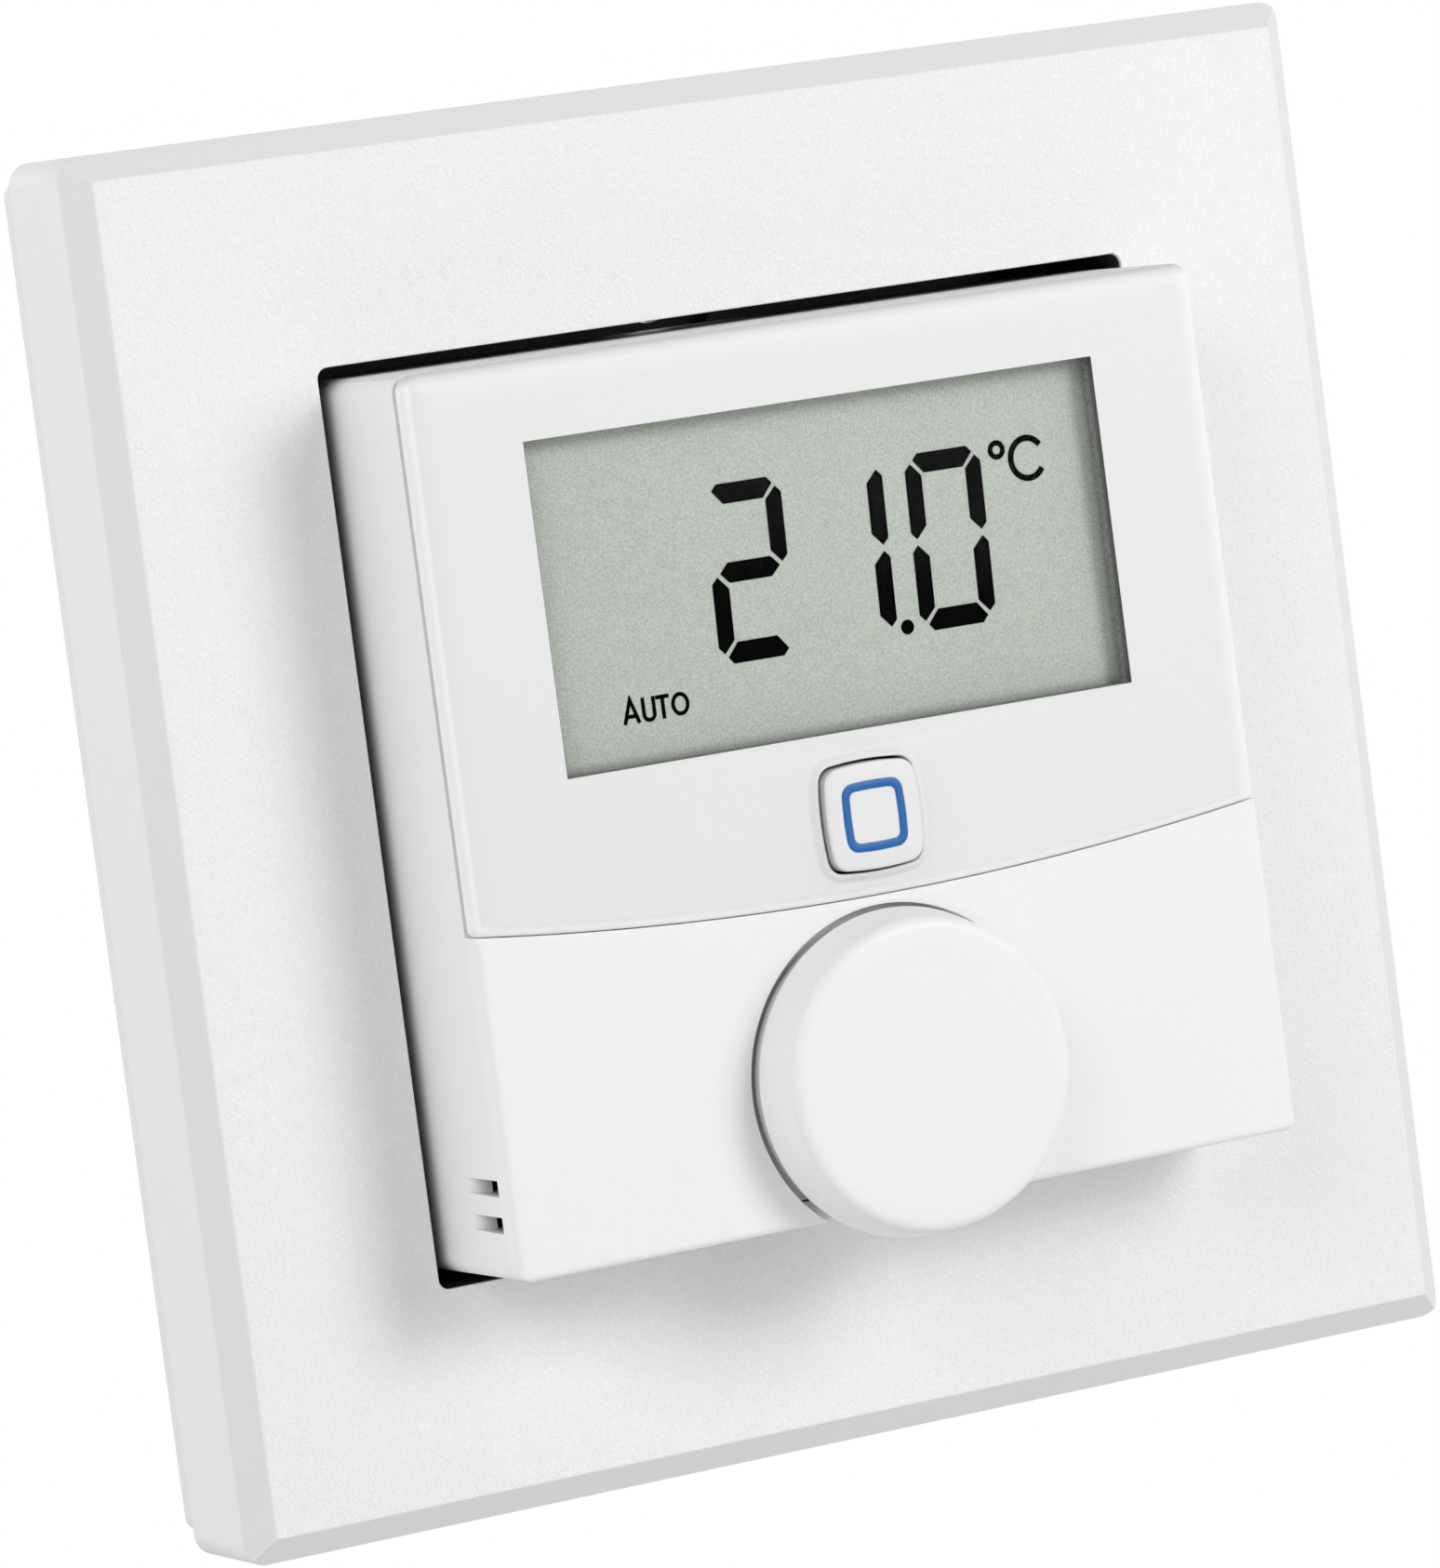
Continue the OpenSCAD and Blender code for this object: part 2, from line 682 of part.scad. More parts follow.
module display_cover() {
    color("lightcyan", 0.5) difference() {
        intersection() {
            slab(part_out + groove_h, unit_out) upper_outline(unit_w, 0);
            rotate([0, 90, 0]) linear_extrude(unit_w, center = true)
                edge_profile(margin_steps());
            linear_extrude(unit_w, center = true) edge_profile(margin_steps());
            turned(split_z, 720) polygon(concat([[0, part_out]], [for (p = margin_steps())
                [split_r + p[0], p[1]]], [[0, unit_out]]));
        }
        slab(0, mask_out) upper_outline(cover_w + 2 * lcd_fit, clear_rim - lcd_fit);
        slab(0, unit_out + 1) at_button()
            bulged_square(button_collar_w + 2 * lcd_fit, button_corner_r + button_collar_t);
    }
}

// Steps of the cover's edge and sloping margin
function margin_steps() = [[0, part_out], [0, unit_out - edge_d], [-edge_w, unit_out - margin_d],
    [-edge_w - margin_w, unit_out]];

module cover_mask() {
    color("white") difference() {
        union() {
            slab(shelf_out, mask_out) upper_outline(cover_w, clear_rim);
            slab(shelf_out, unit_out + button_collar_h) at_button()
                bulged_square(button_collar_w, button_corner_r + button_collar_t);
        }
        slab(0, unit_out) window_outline(0);
        slab(0, gasket_out) window_outline(gasket_w + lcd_fit);
        slab(0, unit_out + 1) at_button() bulged_square(button_hole_w, button_corner_r);
    }
}

module display_gasket() {
    color("dimgray") slab(gasket_out - gasket_t, gasket_out) difference() {
        window_outline(gasket_w);
        window_outline(0.03);
    }
}

module lcd_polariser() {
    color("darkseagreen") slab(glass_out, glass_out + polariser_t)
        display_outline(lcd_w - 0.8, lcd_h - 0.6);
}

module lcd_glass() {
    color("lightgray") slab(reflector_out, glass_out) display_outline(lcd_w, lcd_h);
}

module lcd_reflector() {
    color("gainsboro") slab(reflector_out - reflector_t, reflector_out)
        translate([0, zebra_t]) display_outline(lcd_w, lcd_h - 2 * zebra_t);
}

module lcd_holder() {
    color("white") difference() {
        slab(board_out, panel_rear_out - 0.05) display_outline(holder_w, holder_h);
        slab(reflector_out - reflector_t, unit_out)
            display_outline(lcd_w + 2 * lcd_fit, lcd_h + 2 * lcd_fit);
        slab(0, reflector_out) translate([0, -(lcd_h - zebra_t) / 2])
            display_outline(lcd_w - 1.6, zebra_t + 2 * lcd_fit);
        slab(0, reflector_out - reflector_t - 0.8)
            display_outline(holder_w - 3, lcd_h - 4 * zebra_t);
    }
}

module zebra_strip() {
    color("dimgray") slab(board_out, reflector_out) translate([0, -(lcd_h - zebra_t) / 2])
        display_outline(lcd_w - 2, zebra_t);
}

module circuit_board() {
    color("seagreen") difference() {
        slab(board_rear_out, board_out) square(board_w, center = true);
        at_corners(board_w / 2, board_w / 2)
            cube([2 * board_corner, 4 * board_out, 2 * board_corner], center = true);
        contact_slots(board_rear_out - 1, board_out + 1, 4);
    }
}

// Flat package with a row of pins on each side
module controller_chip() {
    pin_pitch = chip_w / 14;
    foot_w = chip_w + 3 * pin_pitch;
    color("black") slab(board_out, board_out + chip_t) translate([-side_x, side_z])
        square(chip_w, center = true);
    color("silver") slab(board_out, board_out + 0.2) translate([-side_x, side_z])
        for (a = [0, 90]) rotate(a) for (i = [-5.5:5.5]) translate([i * pin_pitch, 0])
            difference() {
                square([pin_pitch * 0.45, foot_w], center = true);
                square([pin_pitch, chip_w], center = true);
            }
}

module radio_module() {
    color("silver") slab(board_out, board_out + radio_t) translate([side_x, side_z])
        rounded(radio_w, radio_h, radio_w / 15);
}

module antenna() {
    top_out = board_out + antenna_gap;
    color("goldenrod") {
        for (z = [antenna_low, antenna_high]) {
            post(antenna_x, z, antenna_r, board_out, top_out);
            translate([antenna_x, -top_out, z]) sphere(antenna_r);
        }
        translate([antenna_x, -top_out, antenna_low])
            cylinder(h = antenna_high - antenna_low, r = antenna_r);
    }
}

module quartz_crystal() {
    color("silver") slab(board_out, board_out + crystal_t) translate([-side_x, wheel_z])
        rounded(crystal_w, crystal_w * 0.4, crystal_w * 0.19);
}

module capacitors() {
    color("dimgray") for (i = [-1:1])
        post(i * cap_pitch, wheel_z, cap_r, board_rear_out - cap_len, board_rear_out);
}

module humidity_sensor() {
    color("whitesmoke") difference() {
        slab(board_out, board_out + 1) translate([sensor_x, sensor_z])
            square(sensor_w, center = true);
        post(sensor_x, sensor_z, sensor_w / 4, board_out + 0.6, board_out + 2);
    }
}

module status_leds() {
    color("lightyellow") for (x = [-1, 1]) slab(board_out, board_out + 0.7)
        translate([x * (button_w / 2 + led_w / 2), button_z])
            square([led_w, 1.8 * led_w], center = true);
}

module button_switch() {
    color("silver") difference() {
        slab(board_out, switch_out) at_button() square(switch_w, center = true);
        post(0, button_z, plunger_r + 0.05, board_out + 0.3, unit_out);
    }
}

module encoder_body() {
    color("silver") difference() {
        union() {
            slab(board_out, encoder_out) translate([0, wheel_z]) square(encoder_w, center = true);
            post(0, wheel_z, bushing_r, encoder_out - 0.1, part_out - 0.1);
        }
        post(0, wheel_z, shaft_r + shaft_fit, board_out + 0.3, unit_out);
    }
}

// ---- Batteries and contacts ----

// A battery along X, its nub towards +X, its base at x = 0
module cell() {
    nub = 0.8;
    color("slategray") rotate([0, 90, 0]) rotate_extrude() polygon([
        [0, 0], [4.4, 0], [cell_r, 0.5], [cell_r, cell_len - nub - 0.5], [4.4, cell_len - nub],
        [1.9, cell_len - nub], [1.7, cell_len], [0, cell_len]]);
}

cell_x = contact_t + spring_len - bay_len / 2;

module battery_upper() {
    translate([cell_x, -cell_out, cell_pitch / 2]) cell();
}

module battery_lower() {
    translate([-cell_x, -cell_out, -cell_pitch / 2]) mirror([1, 0, 0]) cell();
}

// A contact plate at end side sx of the bay at height z, with a tab to the circuit board
module contact_plate(sx, z) {
    x = sx * (bay_len - contact_t) / 2;
    slab(cell_out - cell_r + 1, cell_out + cell_r) translate([x, z])
        square([contact_t, cell_d - 2.4], center = true);
    slab(cell_out + cell_r - 0.1, board_out + 0.5) translate([x, z])
        square([contact_t, tab_w], center = true);
}

module battery_terminals() {
    color("gainsboro") for (s = [-1, 1]) contact_plate(-1, s * cell_pitch / 2);
}

module bridge_plate() {
    color("gainsboro") for (s = [-1, 1]) contact_plate(1, s * cell_pitch / 2);
}

// Conical contact spring: a wire swept along a helix, from its wide turn to its narrow one
wire_r = 0.28;
spring_wide_r = 3.4;
spring_narrow_r = 1.9;
spring_turns = 3;
spring_steps = 16;
wire_sides = 6;

function spring_ring(i) =
    let (n = spring_turns * spring_steps, t = i / n, a = 360 * i / spring_steps,
        r = spring_wide_r + (spring_narrow_r - spring_wide_r) * t,
        x = wire_r + 0.02 + (spring_len - 2 * wire_r - 0.04) * t)
    [for (j = [0:wire_sides - 1]) let (b = 360 * j / wire_sides, d = r + wire_r * cos(b))
        [x + wire_r * sin(b), d * cos(a), d * sin(a)]];

module contact_spring() {
    n = spring_turns * spring_steps;
    points = [for (i = [0:n]) each spring_ring(i)];
    sides = [for (i = [0:n - 1], j = [0:wire_sides - 1])
        let (k = (j + 1) % wire_sides, p = i * wire_sides, q = p + wire_sides)
        [p + j, q + j, q + k, p + k]];
    start_cap = [[for (j = [0:wire_sides - 1]) j]];
    end_cap = [[for (j = [wire_sides - 1:-1:0]) n * wire_sides + j]];
    polyhedron(points, concat(sides, start_cap, end_cap));
}

module contact_springs() {
    x = bay_len / 2 - contact_t;
    color("silver") {
        translate([-x, -cell_out, cell_pitch / 2]) contact_spring();
        translate([x, -cell_out, -cell_pitch / 2]) mirror([1, 0, 0]) contact_spring();
    }
}

module case_screws() {
    color("dimgray") at_corners(boss_at, boss_at) {
        post(0, 0, screw_r, head_seat_out - 0.1, head_seat_out + screw_len);
        difference() {
            post(0, 0, screw_head_r, head_seat_out - screw_head_h, head_seat_out);
            translate([0, screw_head_h - head_seat_out, 0]) {
                cube([2, 1, 0.5], center = true);
                cube([0.5, 1, 2], center = true);
            }
        }
    }
}

// ---- Control wheel ----

module encoder_push_pin() {
    color("gold") {
        post(0, wheel_z, shaft_r, pin_out, pin_out + pin_t);
        post(0, wheel_z, pin_spigot_r, pin_out, pin_out + pin_t + 1.6);
    }
}

// Round shaft with a flat, drawn larger by fit for the wheel's bore
module shaft_outline(fit) {
    difference() {
        circle(shaft_r + fit);
        translate([flat_at + fit, -shaft_r - 1]) square(2 * shaft_r + 2);
    }
}

module encoder_shaft() {
    foot_out = pin_out + pin_t + stop_gap;
    color("silver") difference() {
        union() {
            post(0, wheel_z, shaft_r, foot_out, neck_out);
            slab(neck_out - 0.1, shaft_out) translate([0, wheel_z]) shaft_outline(0);
        }
        post(0, wheel_z, pin_spigot_r + shaft_fit, foot_out - 1, pin_out + pin_t + 1.9);
    }
}

// Skirt, neck and front of the wheel, with the front edge as an arc
module wheel_body() {
    r = wheel_edge_r;
    turned(wheel_z) polygon(concat(
        [[0, neck_out], [neck_r, neck_out], [neck_r, skirt_out], [wheel_r, skirt_out]],
        [for (i = [0:8]) let (a = 90 * i / 8)
            [wheel_front_r - r + r * cos(a), wheel_out - r + r * sin(a)]],
        [[0, wheel_out]]));
}

module control_wheel() {
    cavity_r = neck_r - wheel_wall;
    color("white") difference() {
        wheel_body();
        difference() {
            post(0, wheel_z, cavity_r, neck_out - 1, wheel_out - wheel_wall);
            post(0, wheel_z, hub_r, neck_out - 2, wheel_out);
        }
        slab(neck_out - 1, shaft_out + 0.1) translate([0, wheel_z]) shaft_outline(shaft_fit);
    }
}

// ---- System button ----

module ring_outline(grow) {
    at_button() difference() {
        bulged_square(ring_w + 2 * grow, 0.8);
        bulged_square(ring_w - 2 * ring_t - 2 * grow, 0.4);
    }
}

module system_button() {
    color("white") difference() {
        union() {
            slab(button_flange_out - 0.1, button_out) at_button()
                bulged_square(button_w, button_corner_r - 0.1);
            slab(button_flange_out - button_flange_t, button_flange_out) at_button()
                square([button_w + 3.4, button_w - 1.4], center = true);
        }
        slab(button_out - ring_depth, button_out + 1) ring_outline(0.01);
        for (x = [-1, 1]) post(x * ring_mid, button_z, 0.42, 0, button_out - ring_depth + 0.1);
    }
}

module light_ring() {
    color("royalblue") {
        slab(button_out - ring_depth, button_out) ring_outline(0);
        for (x = [-1, 1]) post(x * ring_mid, button_z, 0.4,
            button_flange_out - button_flange_t, button_out - ring_depth + 0.1);
    }
}

module switch_plunger() {
    color("black") post(0, button_z, plunger_r, switch_out - stop_gap,
        button_flange_out - button_flange_t);
}

mounting_plate();
cover_frame();
unit_housing();
front_panel();
display_cover();
cover_mask();
display_gasket();
lcd_polariser();
lcd_glass();
lcd_reflector();
lcd_holder();
zebra_strip();
circuit_board();
controller_chip();
radio_module();
antenna();
quartz_crystal();
capacitors();
humidity_sensor();
status_leds();
button_switch();
encoder_body();
battery_upper();
battery_lower();
battery_terminals();
bridge_plate();
contact_springs();
case_screws();
encoder_push_pin();
encoder_shaft();
control_wheel();
system_button();
light_ring();
switch_plunger();
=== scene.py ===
"""Wall thermostat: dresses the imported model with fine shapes, finishes, light and a camera."""

from __future__ import annotations

import json
import logging
import math
from dataclasses import dataclass, replace
from enum import Enum
from typing import Callable, Iterable, Sequence

import bmesh
import bpy
from mathutils import Matrix, Vector
from mathutils.geometry import delaunay_2d_cdt

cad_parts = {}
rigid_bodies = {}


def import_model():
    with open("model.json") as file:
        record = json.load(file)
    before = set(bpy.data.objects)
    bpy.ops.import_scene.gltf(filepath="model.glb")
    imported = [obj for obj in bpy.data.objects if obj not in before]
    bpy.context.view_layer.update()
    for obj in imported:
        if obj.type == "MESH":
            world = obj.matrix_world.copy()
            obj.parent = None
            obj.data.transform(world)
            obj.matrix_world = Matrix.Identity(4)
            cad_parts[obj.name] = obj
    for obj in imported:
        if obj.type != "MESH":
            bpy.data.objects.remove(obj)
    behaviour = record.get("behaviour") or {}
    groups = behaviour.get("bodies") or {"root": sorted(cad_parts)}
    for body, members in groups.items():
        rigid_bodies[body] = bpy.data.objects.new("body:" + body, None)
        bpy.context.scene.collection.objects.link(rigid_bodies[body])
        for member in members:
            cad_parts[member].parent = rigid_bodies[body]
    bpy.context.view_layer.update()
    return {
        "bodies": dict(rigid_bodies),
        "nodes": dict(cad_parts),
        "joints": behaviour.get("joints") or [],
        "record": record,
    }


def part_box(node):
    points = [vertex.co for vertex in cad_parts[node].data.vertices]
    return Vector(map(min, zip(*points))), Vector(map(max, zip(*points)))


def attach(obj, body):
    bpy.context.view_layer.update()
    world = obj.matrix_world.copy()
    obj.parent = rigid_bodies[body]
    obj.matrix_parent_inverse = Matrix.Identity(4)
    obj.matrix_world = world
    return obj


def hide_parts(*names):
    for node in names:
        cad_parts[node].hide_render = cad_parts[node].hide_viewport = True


LOG = logging.getLogger("thermostat")

MM = 0.001
MM_IN_METRE = 1000.0
SAME_MM = 1e-6  # points closer than this are one in a flat face
FUSE_M = 1e-7  # points closer than this are one in a piece
SLIVER_M = 1e-8  # edges shorter than this are dropped

Point = tuple[float, float]
Colour = tuple[float, float, float]


def linear(red: int, green: int, blue: int) -> Colour:
    """Turns a display colour of 0 to 255 into the linear colour that a shader takes."""

    def one(level: int) -> float:
        """Turns one channel linear."""
        v = level / 255
        return v / 12.92 if v <= 0.04045 else ((v + 0.055) / 1.055) ** 2.4

    return one(red), one(green), one(blue)


def grey(level: int) -> Colour:
    """A plain grey of 0 to 255."""
    return linear(level, level, level)


def toned(colour: Colour, share: float) -> Colour:
    """A colour with each channel at a share of its strength."""
    return tuple(channel * share for channel in colour)


# ---- Materials ----


class Shade:
    """A socket of a material's maths. Python's operators on it add Math nodes."""

    def __init__(self, sheet: Nodes, socket: bpy.types.NodeSocket) -> None:
        """Wraps socket, which belongs to sheet."""
        self.sheet = sheet
        self.socket = socket

    def _maths(self, operation: str, *operands: Shade | float) -> Shade:
        """Adds a Math node.

        Args:
            operation: the Math node's operation.
            operands: its inputs in order.

        Returns:
            The node's result.
        """
        inputs = dict(enumerate(operands))
        node = self.sheet.node("ShaderNodeMath", {"operation": operation}, inputs)
        return Shade(self.sheet, node.outputs[0])

    def __add__(self, other: Shade | float) -> Shade:
        """Adds."""
        return self._maths("ADD", self, other)

    __radd__ = __add__

    def __sub__(self, other: Shade | float) -> Shade:
        """Subtracts other from this."""
        return self._maths("SUBTRACT", self, other)

    def __rsub__(self, other: Shade | float) -> Shade:
        """Subtracts this from other."""
        return self._maths("SUBTRACT", other, self)

    def __mul__(self, other: Shade | float) -> Shade:
        """Multiplies."""
        return self._maths("MULTIPLY", self, other)

    __rmul__ = __mul__

    def __truediv__(self, other: Shade | float) -> Shade:
        """Divides this by other."""
        return self._maths("DIVIDE", self, other)

    def __pow__(self, other: Shade | float) -> Shade:
        """Raises this to a power."""
        return self._maths("POWER", self, other)

    def __abs__(self) -> Shade:
        """Drops the sign."""
        return self._maths("ABSOLUTE", self)

    def most(self, other: Shade | float) -> Shade:
        """The larger of the two."""
        return self._maths("MAXIMUM", self, other)

    def least(self, other: Shade | float) -> Shade:
        """The smaller of the two."""
        return self._maths("MINIMUM", self, other)

    def above(self, edge: float) -> Shade:
        """1 where this is above edge, and 0 elsewhere."""
        return self._maths("GREATER_THAN", self, edge)

    def wave(self) -> Shade:
        """The sine of this."""
        return self._maths("SINE", self)

    def fade(self, start: float, end: float) -> Shade:
        """Turns this into a soft step.

        Args:
            start: the value that gives 0.
            end: the value that gives 1.

        Returns:
            A value from 0 to 1, smooth at both ends.
        """
        settings = {"interpolation_type": "SMOOTHSTEP", "clamp": True}
        inputs = {"Value": self, "From Min": start, "From Max": end}
        return Shade(self.sheet, self.sheet.node("ShaderNodeMapRange", settings, inputs).outputs[0])


class Nodes:
    """A sheet of nodes, of a material or of the world."""

    def __init__(self, owner: bpy.types.Material | bpy.types.World) -> None:
        """Clears the owner's sheet."""
        owner.use_nodes = True
        self.tree = owner.node_tree
        self.tree.nodes.clear()

    def node(self, kind: str, settings: dict[str, object] | None = None,
             inputs: dict[object, object] | None = None) -> bpy.types.Node:
        """Adds a node.

        Args:
            kind: the node's type name.
            settings: attributes that are set before the sockets.
            inputs: socket names or numbers, and the value, Shade or node that each takes.

        Returns:
            The new node.
        """
        node = self.tree.nodes.new(kind)
        for name, setting in (settings or {}).items():
            setattr(node, name, setting)
        for key, given in (inputs or {}).items():
            self.feed(node.inputs[key], given)
        return node

    def feed(self, socket: bpy.types.NodeSocket, given: object) -> None:
        """Feeds a socket.

        Args:
            socket: the socket.
            given: a Shade, socket or node that is linked to it, or its value.
        """
        if isinstance(given, Shade):
            given = given.socket
        if isinstance(given, bpy.types.Node):
            given = given.outputs[0]
        if isinstance(given, bpy.types.NodeSocket):
            self.tree.links.new(given, socket)
        elif socket.type == "RGBA" and len(given) == 3:
            socket.default_value = (*given, 1.0)
        else:
            socket.default_value = given

    def parts(self, vector: bpy.types.NodeSocket) -> list[Shade]:
        """Splits a vector into its three numbers."""
        node = self.node("ShaderNodeSeparateXYZ", None, {0: vector})
        return [Shade(self, part) for part in node.outputs]


class Sheet(Nodes):
    """The node sheet of one material."""

    def __init__(self, name: str) -> None:
        """Makes the material, with a Principled shader on its output."""
        self.material = bpy.data.materials.new(name)
        super().__init__(self.material)
        self.shader = self.node("ShaderNodeBsdfPrincipled")
        self.output = self.node("ShaderNodeOutputMaterial", None, {"Surface": self.shader})

    def place(self) -> bpy.types.NodeSocket:
        """The surface's place on the object, in metres."""
        return self.node("ShaderNodeTexCoord").outputs["Object"]

    def axes(self) -> tuple[Shade, Shade, Shade]:
        """The surface's x, distance from the wall, and z, in millimetres."""
        x, y, z = self.parts(self.place())
        return x * MM_IN_METRE, y * -MM_IN_METRE, z * MM_IN_METRE

    def noise(self, size_mm: float, detail: float = 2.0, roughness: float = 0.5,
              squeeze: Sequence[float] | None = None) -> Shade:
        """Cloudy noise.

        Args:
            size_mm: the size of its patches.
            detail: how many finer layers it has.
            roughness: how strong they are.
            squeeze: what each axis is multiplied by first. Below 1 it draws the patches out.

        Returns:
            The noise, around 0.5.
        """
        place: object = self.place()
        if squeeze:
            place = self.node("ShaderNodeVectorMath", {"operation": "MULTIPLY"},
                              {0: place, 1: squeeze})
        inputs = {"Vector": place, "Scale": MM_IN_METRE / size_mm, "Detail": detail,
                  "Roughness": roughness}
        node = self.node("ShaderNodeTexNoise", {"noise_dimensions": "3D"}, inputs)
        return Shade(self, node.outputs[0])

    def cells(self, size_mm: float) -> Shade:
        """Distance to the middle of the nearest cell, for pits and grains.

        Args:
            size_mm: the size of the cells.

        Returns:
            The distance, from 0 to about 1.
        """
        inputs = {"Vector": self.place(), "Scale": MM_IN_METRE / size_mm}
        node = self.node("ShaderNodeTexVoronoi", {"feature": "F1"}, inputs)
        return Shade(self, node.outputs["Distance"])

    def blend(self, share: Shade | float, low: object, high: object) -> bpy.types.NodeSocket:
        """Mixes two colours.

        Args:
            share: 0 gives low and 1 gives high.
            low: a colour or its socket.
            high: a colour or its socket.

        Returns:
            The mixed colour.
        """
        inputs = {"Factor": share, 6: low, 7: high}
        return self.node("ShaderNodeMix", {"data_type": "RGBA"}, inputs).outputs[2]

    def mottled(self, share: Shade, colour: Colour, tone: float) -> bpy.types.NodeSocket:
        """Lets a colour drop to tone, a share of its strength, where share drops from 1 to 0."""
        return self.blend(share, toned(colour, tone), colour)

    def relief(self, height: Shade, depth_mm: float) -> None:
        """Raises the surface's light and shade by a height of 0 to 1 times depth_mm."""
        inputs = {"Height": height, "Distance": depth_mm * MM, "Strength": 1.0}
        self.feed(self.shader.inputs["Normal"], self.node("ShaderNodeBump", None, inputs))

    def dress(self, **inputs: object) -> None:
        """Sets the shader's sockets. An underscore in a name stands for a space."""
        for name, given in inputs.items():
            self.feed(self.shader.inputs[name.replace("_", " ")], given)

    def finished(self, colour: object, roughness: float, grain: Shade, depth_mm: float = 0.0,
                 spread: float = 0.1, height: Shade | None = None,
                 **more: object) -> bpy.types.Material:
        """Dresses the surface and lets a grain vary its gloss and raise it.

        Args:
            colour: its base colour or the colour's socket.
            roughness: its roughness where the grain is at its middle.
            grain: a value of 0 to 1.
            depth_mm: the relief's depth. 0 leaves the surface smooth.
            spread: the roughness between the grain's lowest and highest.
            height: what is raised in the grain's place.
            more: further sockets of the shader.

        Returns:
            The material.
        """
        self.dress(Base_Color=colour, Roughness=roughness + (grain - 0.5) * spread, **more)
        if depth_mm:
            self.relief(height or grain, depth_mm)
        return self.material


@dataclass(frozen=True)
class Second:
    """A second colour within a box about a middle, between two distances from the wall.

    It comes in over soft_mm inwards from the box's sides, or at once where that is 0.
    """

    colour: Colour
    low_out_mm: float
    high_out_mm: float
    half_width_mm: float
    half_height_mm: float
    middle: Point = (0.0, 0.0)
    soft_mm: float = 0.0

    def where(self, sheet: Sheet) -> Shade:
        """Where the second colour lies.

        Args:
            sheet: the material's sheet.

        Returns:
            1 within the box and 0 outside it.
        """
        x, out, z = sheet.axes()
        beside = (abs(x - self.middle[0]) - self.half_width_mm).most(
            abs(z - self.middle[1]) - self.half_height_mm)
        level = abs(out - (self.low_out_mm + self.high_out_mm) / 2)
        beyond = beside.most(level - (self.high_out_mm - self.low_out_mm) / 2)
        if self.soft_mm:
            return 1 - beyond.fade(-self.soft_mm, 0.0)
        return 1 - beyond.above(0.0)


def overlaid(sheet: Sheet, colour: object, seconds: Iterable[Second]) -> object:
    """Lays second colours over a colour, one after another.

    Args:
        sheet: the material's sheet.
        colour: the first colour or its socket.
        seconds: what is laid over it.

    Returns:
        The result's socket, or the colour where there are no second colours.
    """
    for second in seconds:
        colour = sheet.blend(second.where(sheet), colour, second.colour)
    return colour


CLOUD_MM = 9.0  # size of the patches in which moulded plastic is a touch lighter or darker
PLASTIC_SPREAD = 0.12  # how far its grain varies its roughness


@dataclass(frozen=True)
class MouldedPlastic:
    """Matte moulded plastic with a fine even grain."""

    name: str
    colour: Colour
    roughness: float = 0.5
    grain_mm: float = 0.12
    grain_depth_mm: float = 0.004
    tone: float = 0.03
    seconds: tuple[Second, ...] = ()

    def material(self) -> bpy.types.Material:
        """Makes the material."""
        sheet = Sheet(self.name)
        plain = sheet.mottled(sheet.noise(CLOUD_MM, 3.0), self.colour, 1 - self.tone)
        return sheet.finished(overlaid(sheet, plain, self.seconds), self.roughness,
                              sheet.noise(self.grain_mm), self.grain_depth_mm, PLASTIC_SPREAD)


@dataclass(frozen=True)
class ErodedPlastic:
    """White plastic whose front face has the fine leathery grain of a spark-eroded mould.

    The grain comes in between two places behind the face, edge_mm. Painted shade darkens its
    creases and the sides.
    """

    name: str
    colour: Colour
    face_out_mm: float
    roughness: float = 0.5
    ripple_mm: float = 0.3
    ripple_depth_mm: float = 0.03
    crease_width: float = 0.16
    crease_share: float = 0.75
    painted_crease_shade: float = 0.955
    cloud_mm: float = 11.0
    cloud_tone: float = 0.985
    painted_side_shade: float = 0.85
    side_relief: float = 0.1
    edge_mm: Point = (0.12, 0.02)
    seconds: tuple[Second, ...] = ()

    def material(self) -> bpy.types.Material:
        """Makes the material."""
        sheet = Sheet(self.name)
        _, out, _ = sheet.axes()
        face = out.fade(*(self.face_out_mm - back for back in self.edge_mm))
        ripple = sheet.noise(self.ripple_mm, 2.0, 0.55)
        fine = sheet.noise(self.ripple_mm / 3)
        creases = abs(ripple - 0.5).fade(0.0, self.crease_width)
        grain = creases * self.crease_share + fine * (1 - self.crease_share)
        plain = sheet.mottled(sheet.noise(self.cloud_mm), self.colour, self.cloud_tone)
        # painted shade: the grain's creases are darker in colour
        front = sheet.blend(1 - creases, plain, toned(self.colour, self.painted_crease_shade))
        # painted shade: the sides behind the face are darker than the face
        colour = sheet.blend(face, toned(self.colour, self.painted_side_shade), front)
        height = face * grain + (1 - face) * fine * self.side_relief
        return sheet.finished(overlaid(sheet, colour, self.seconds), self.roughness, fine,
                              self.ripple_depth_mm, height=height)


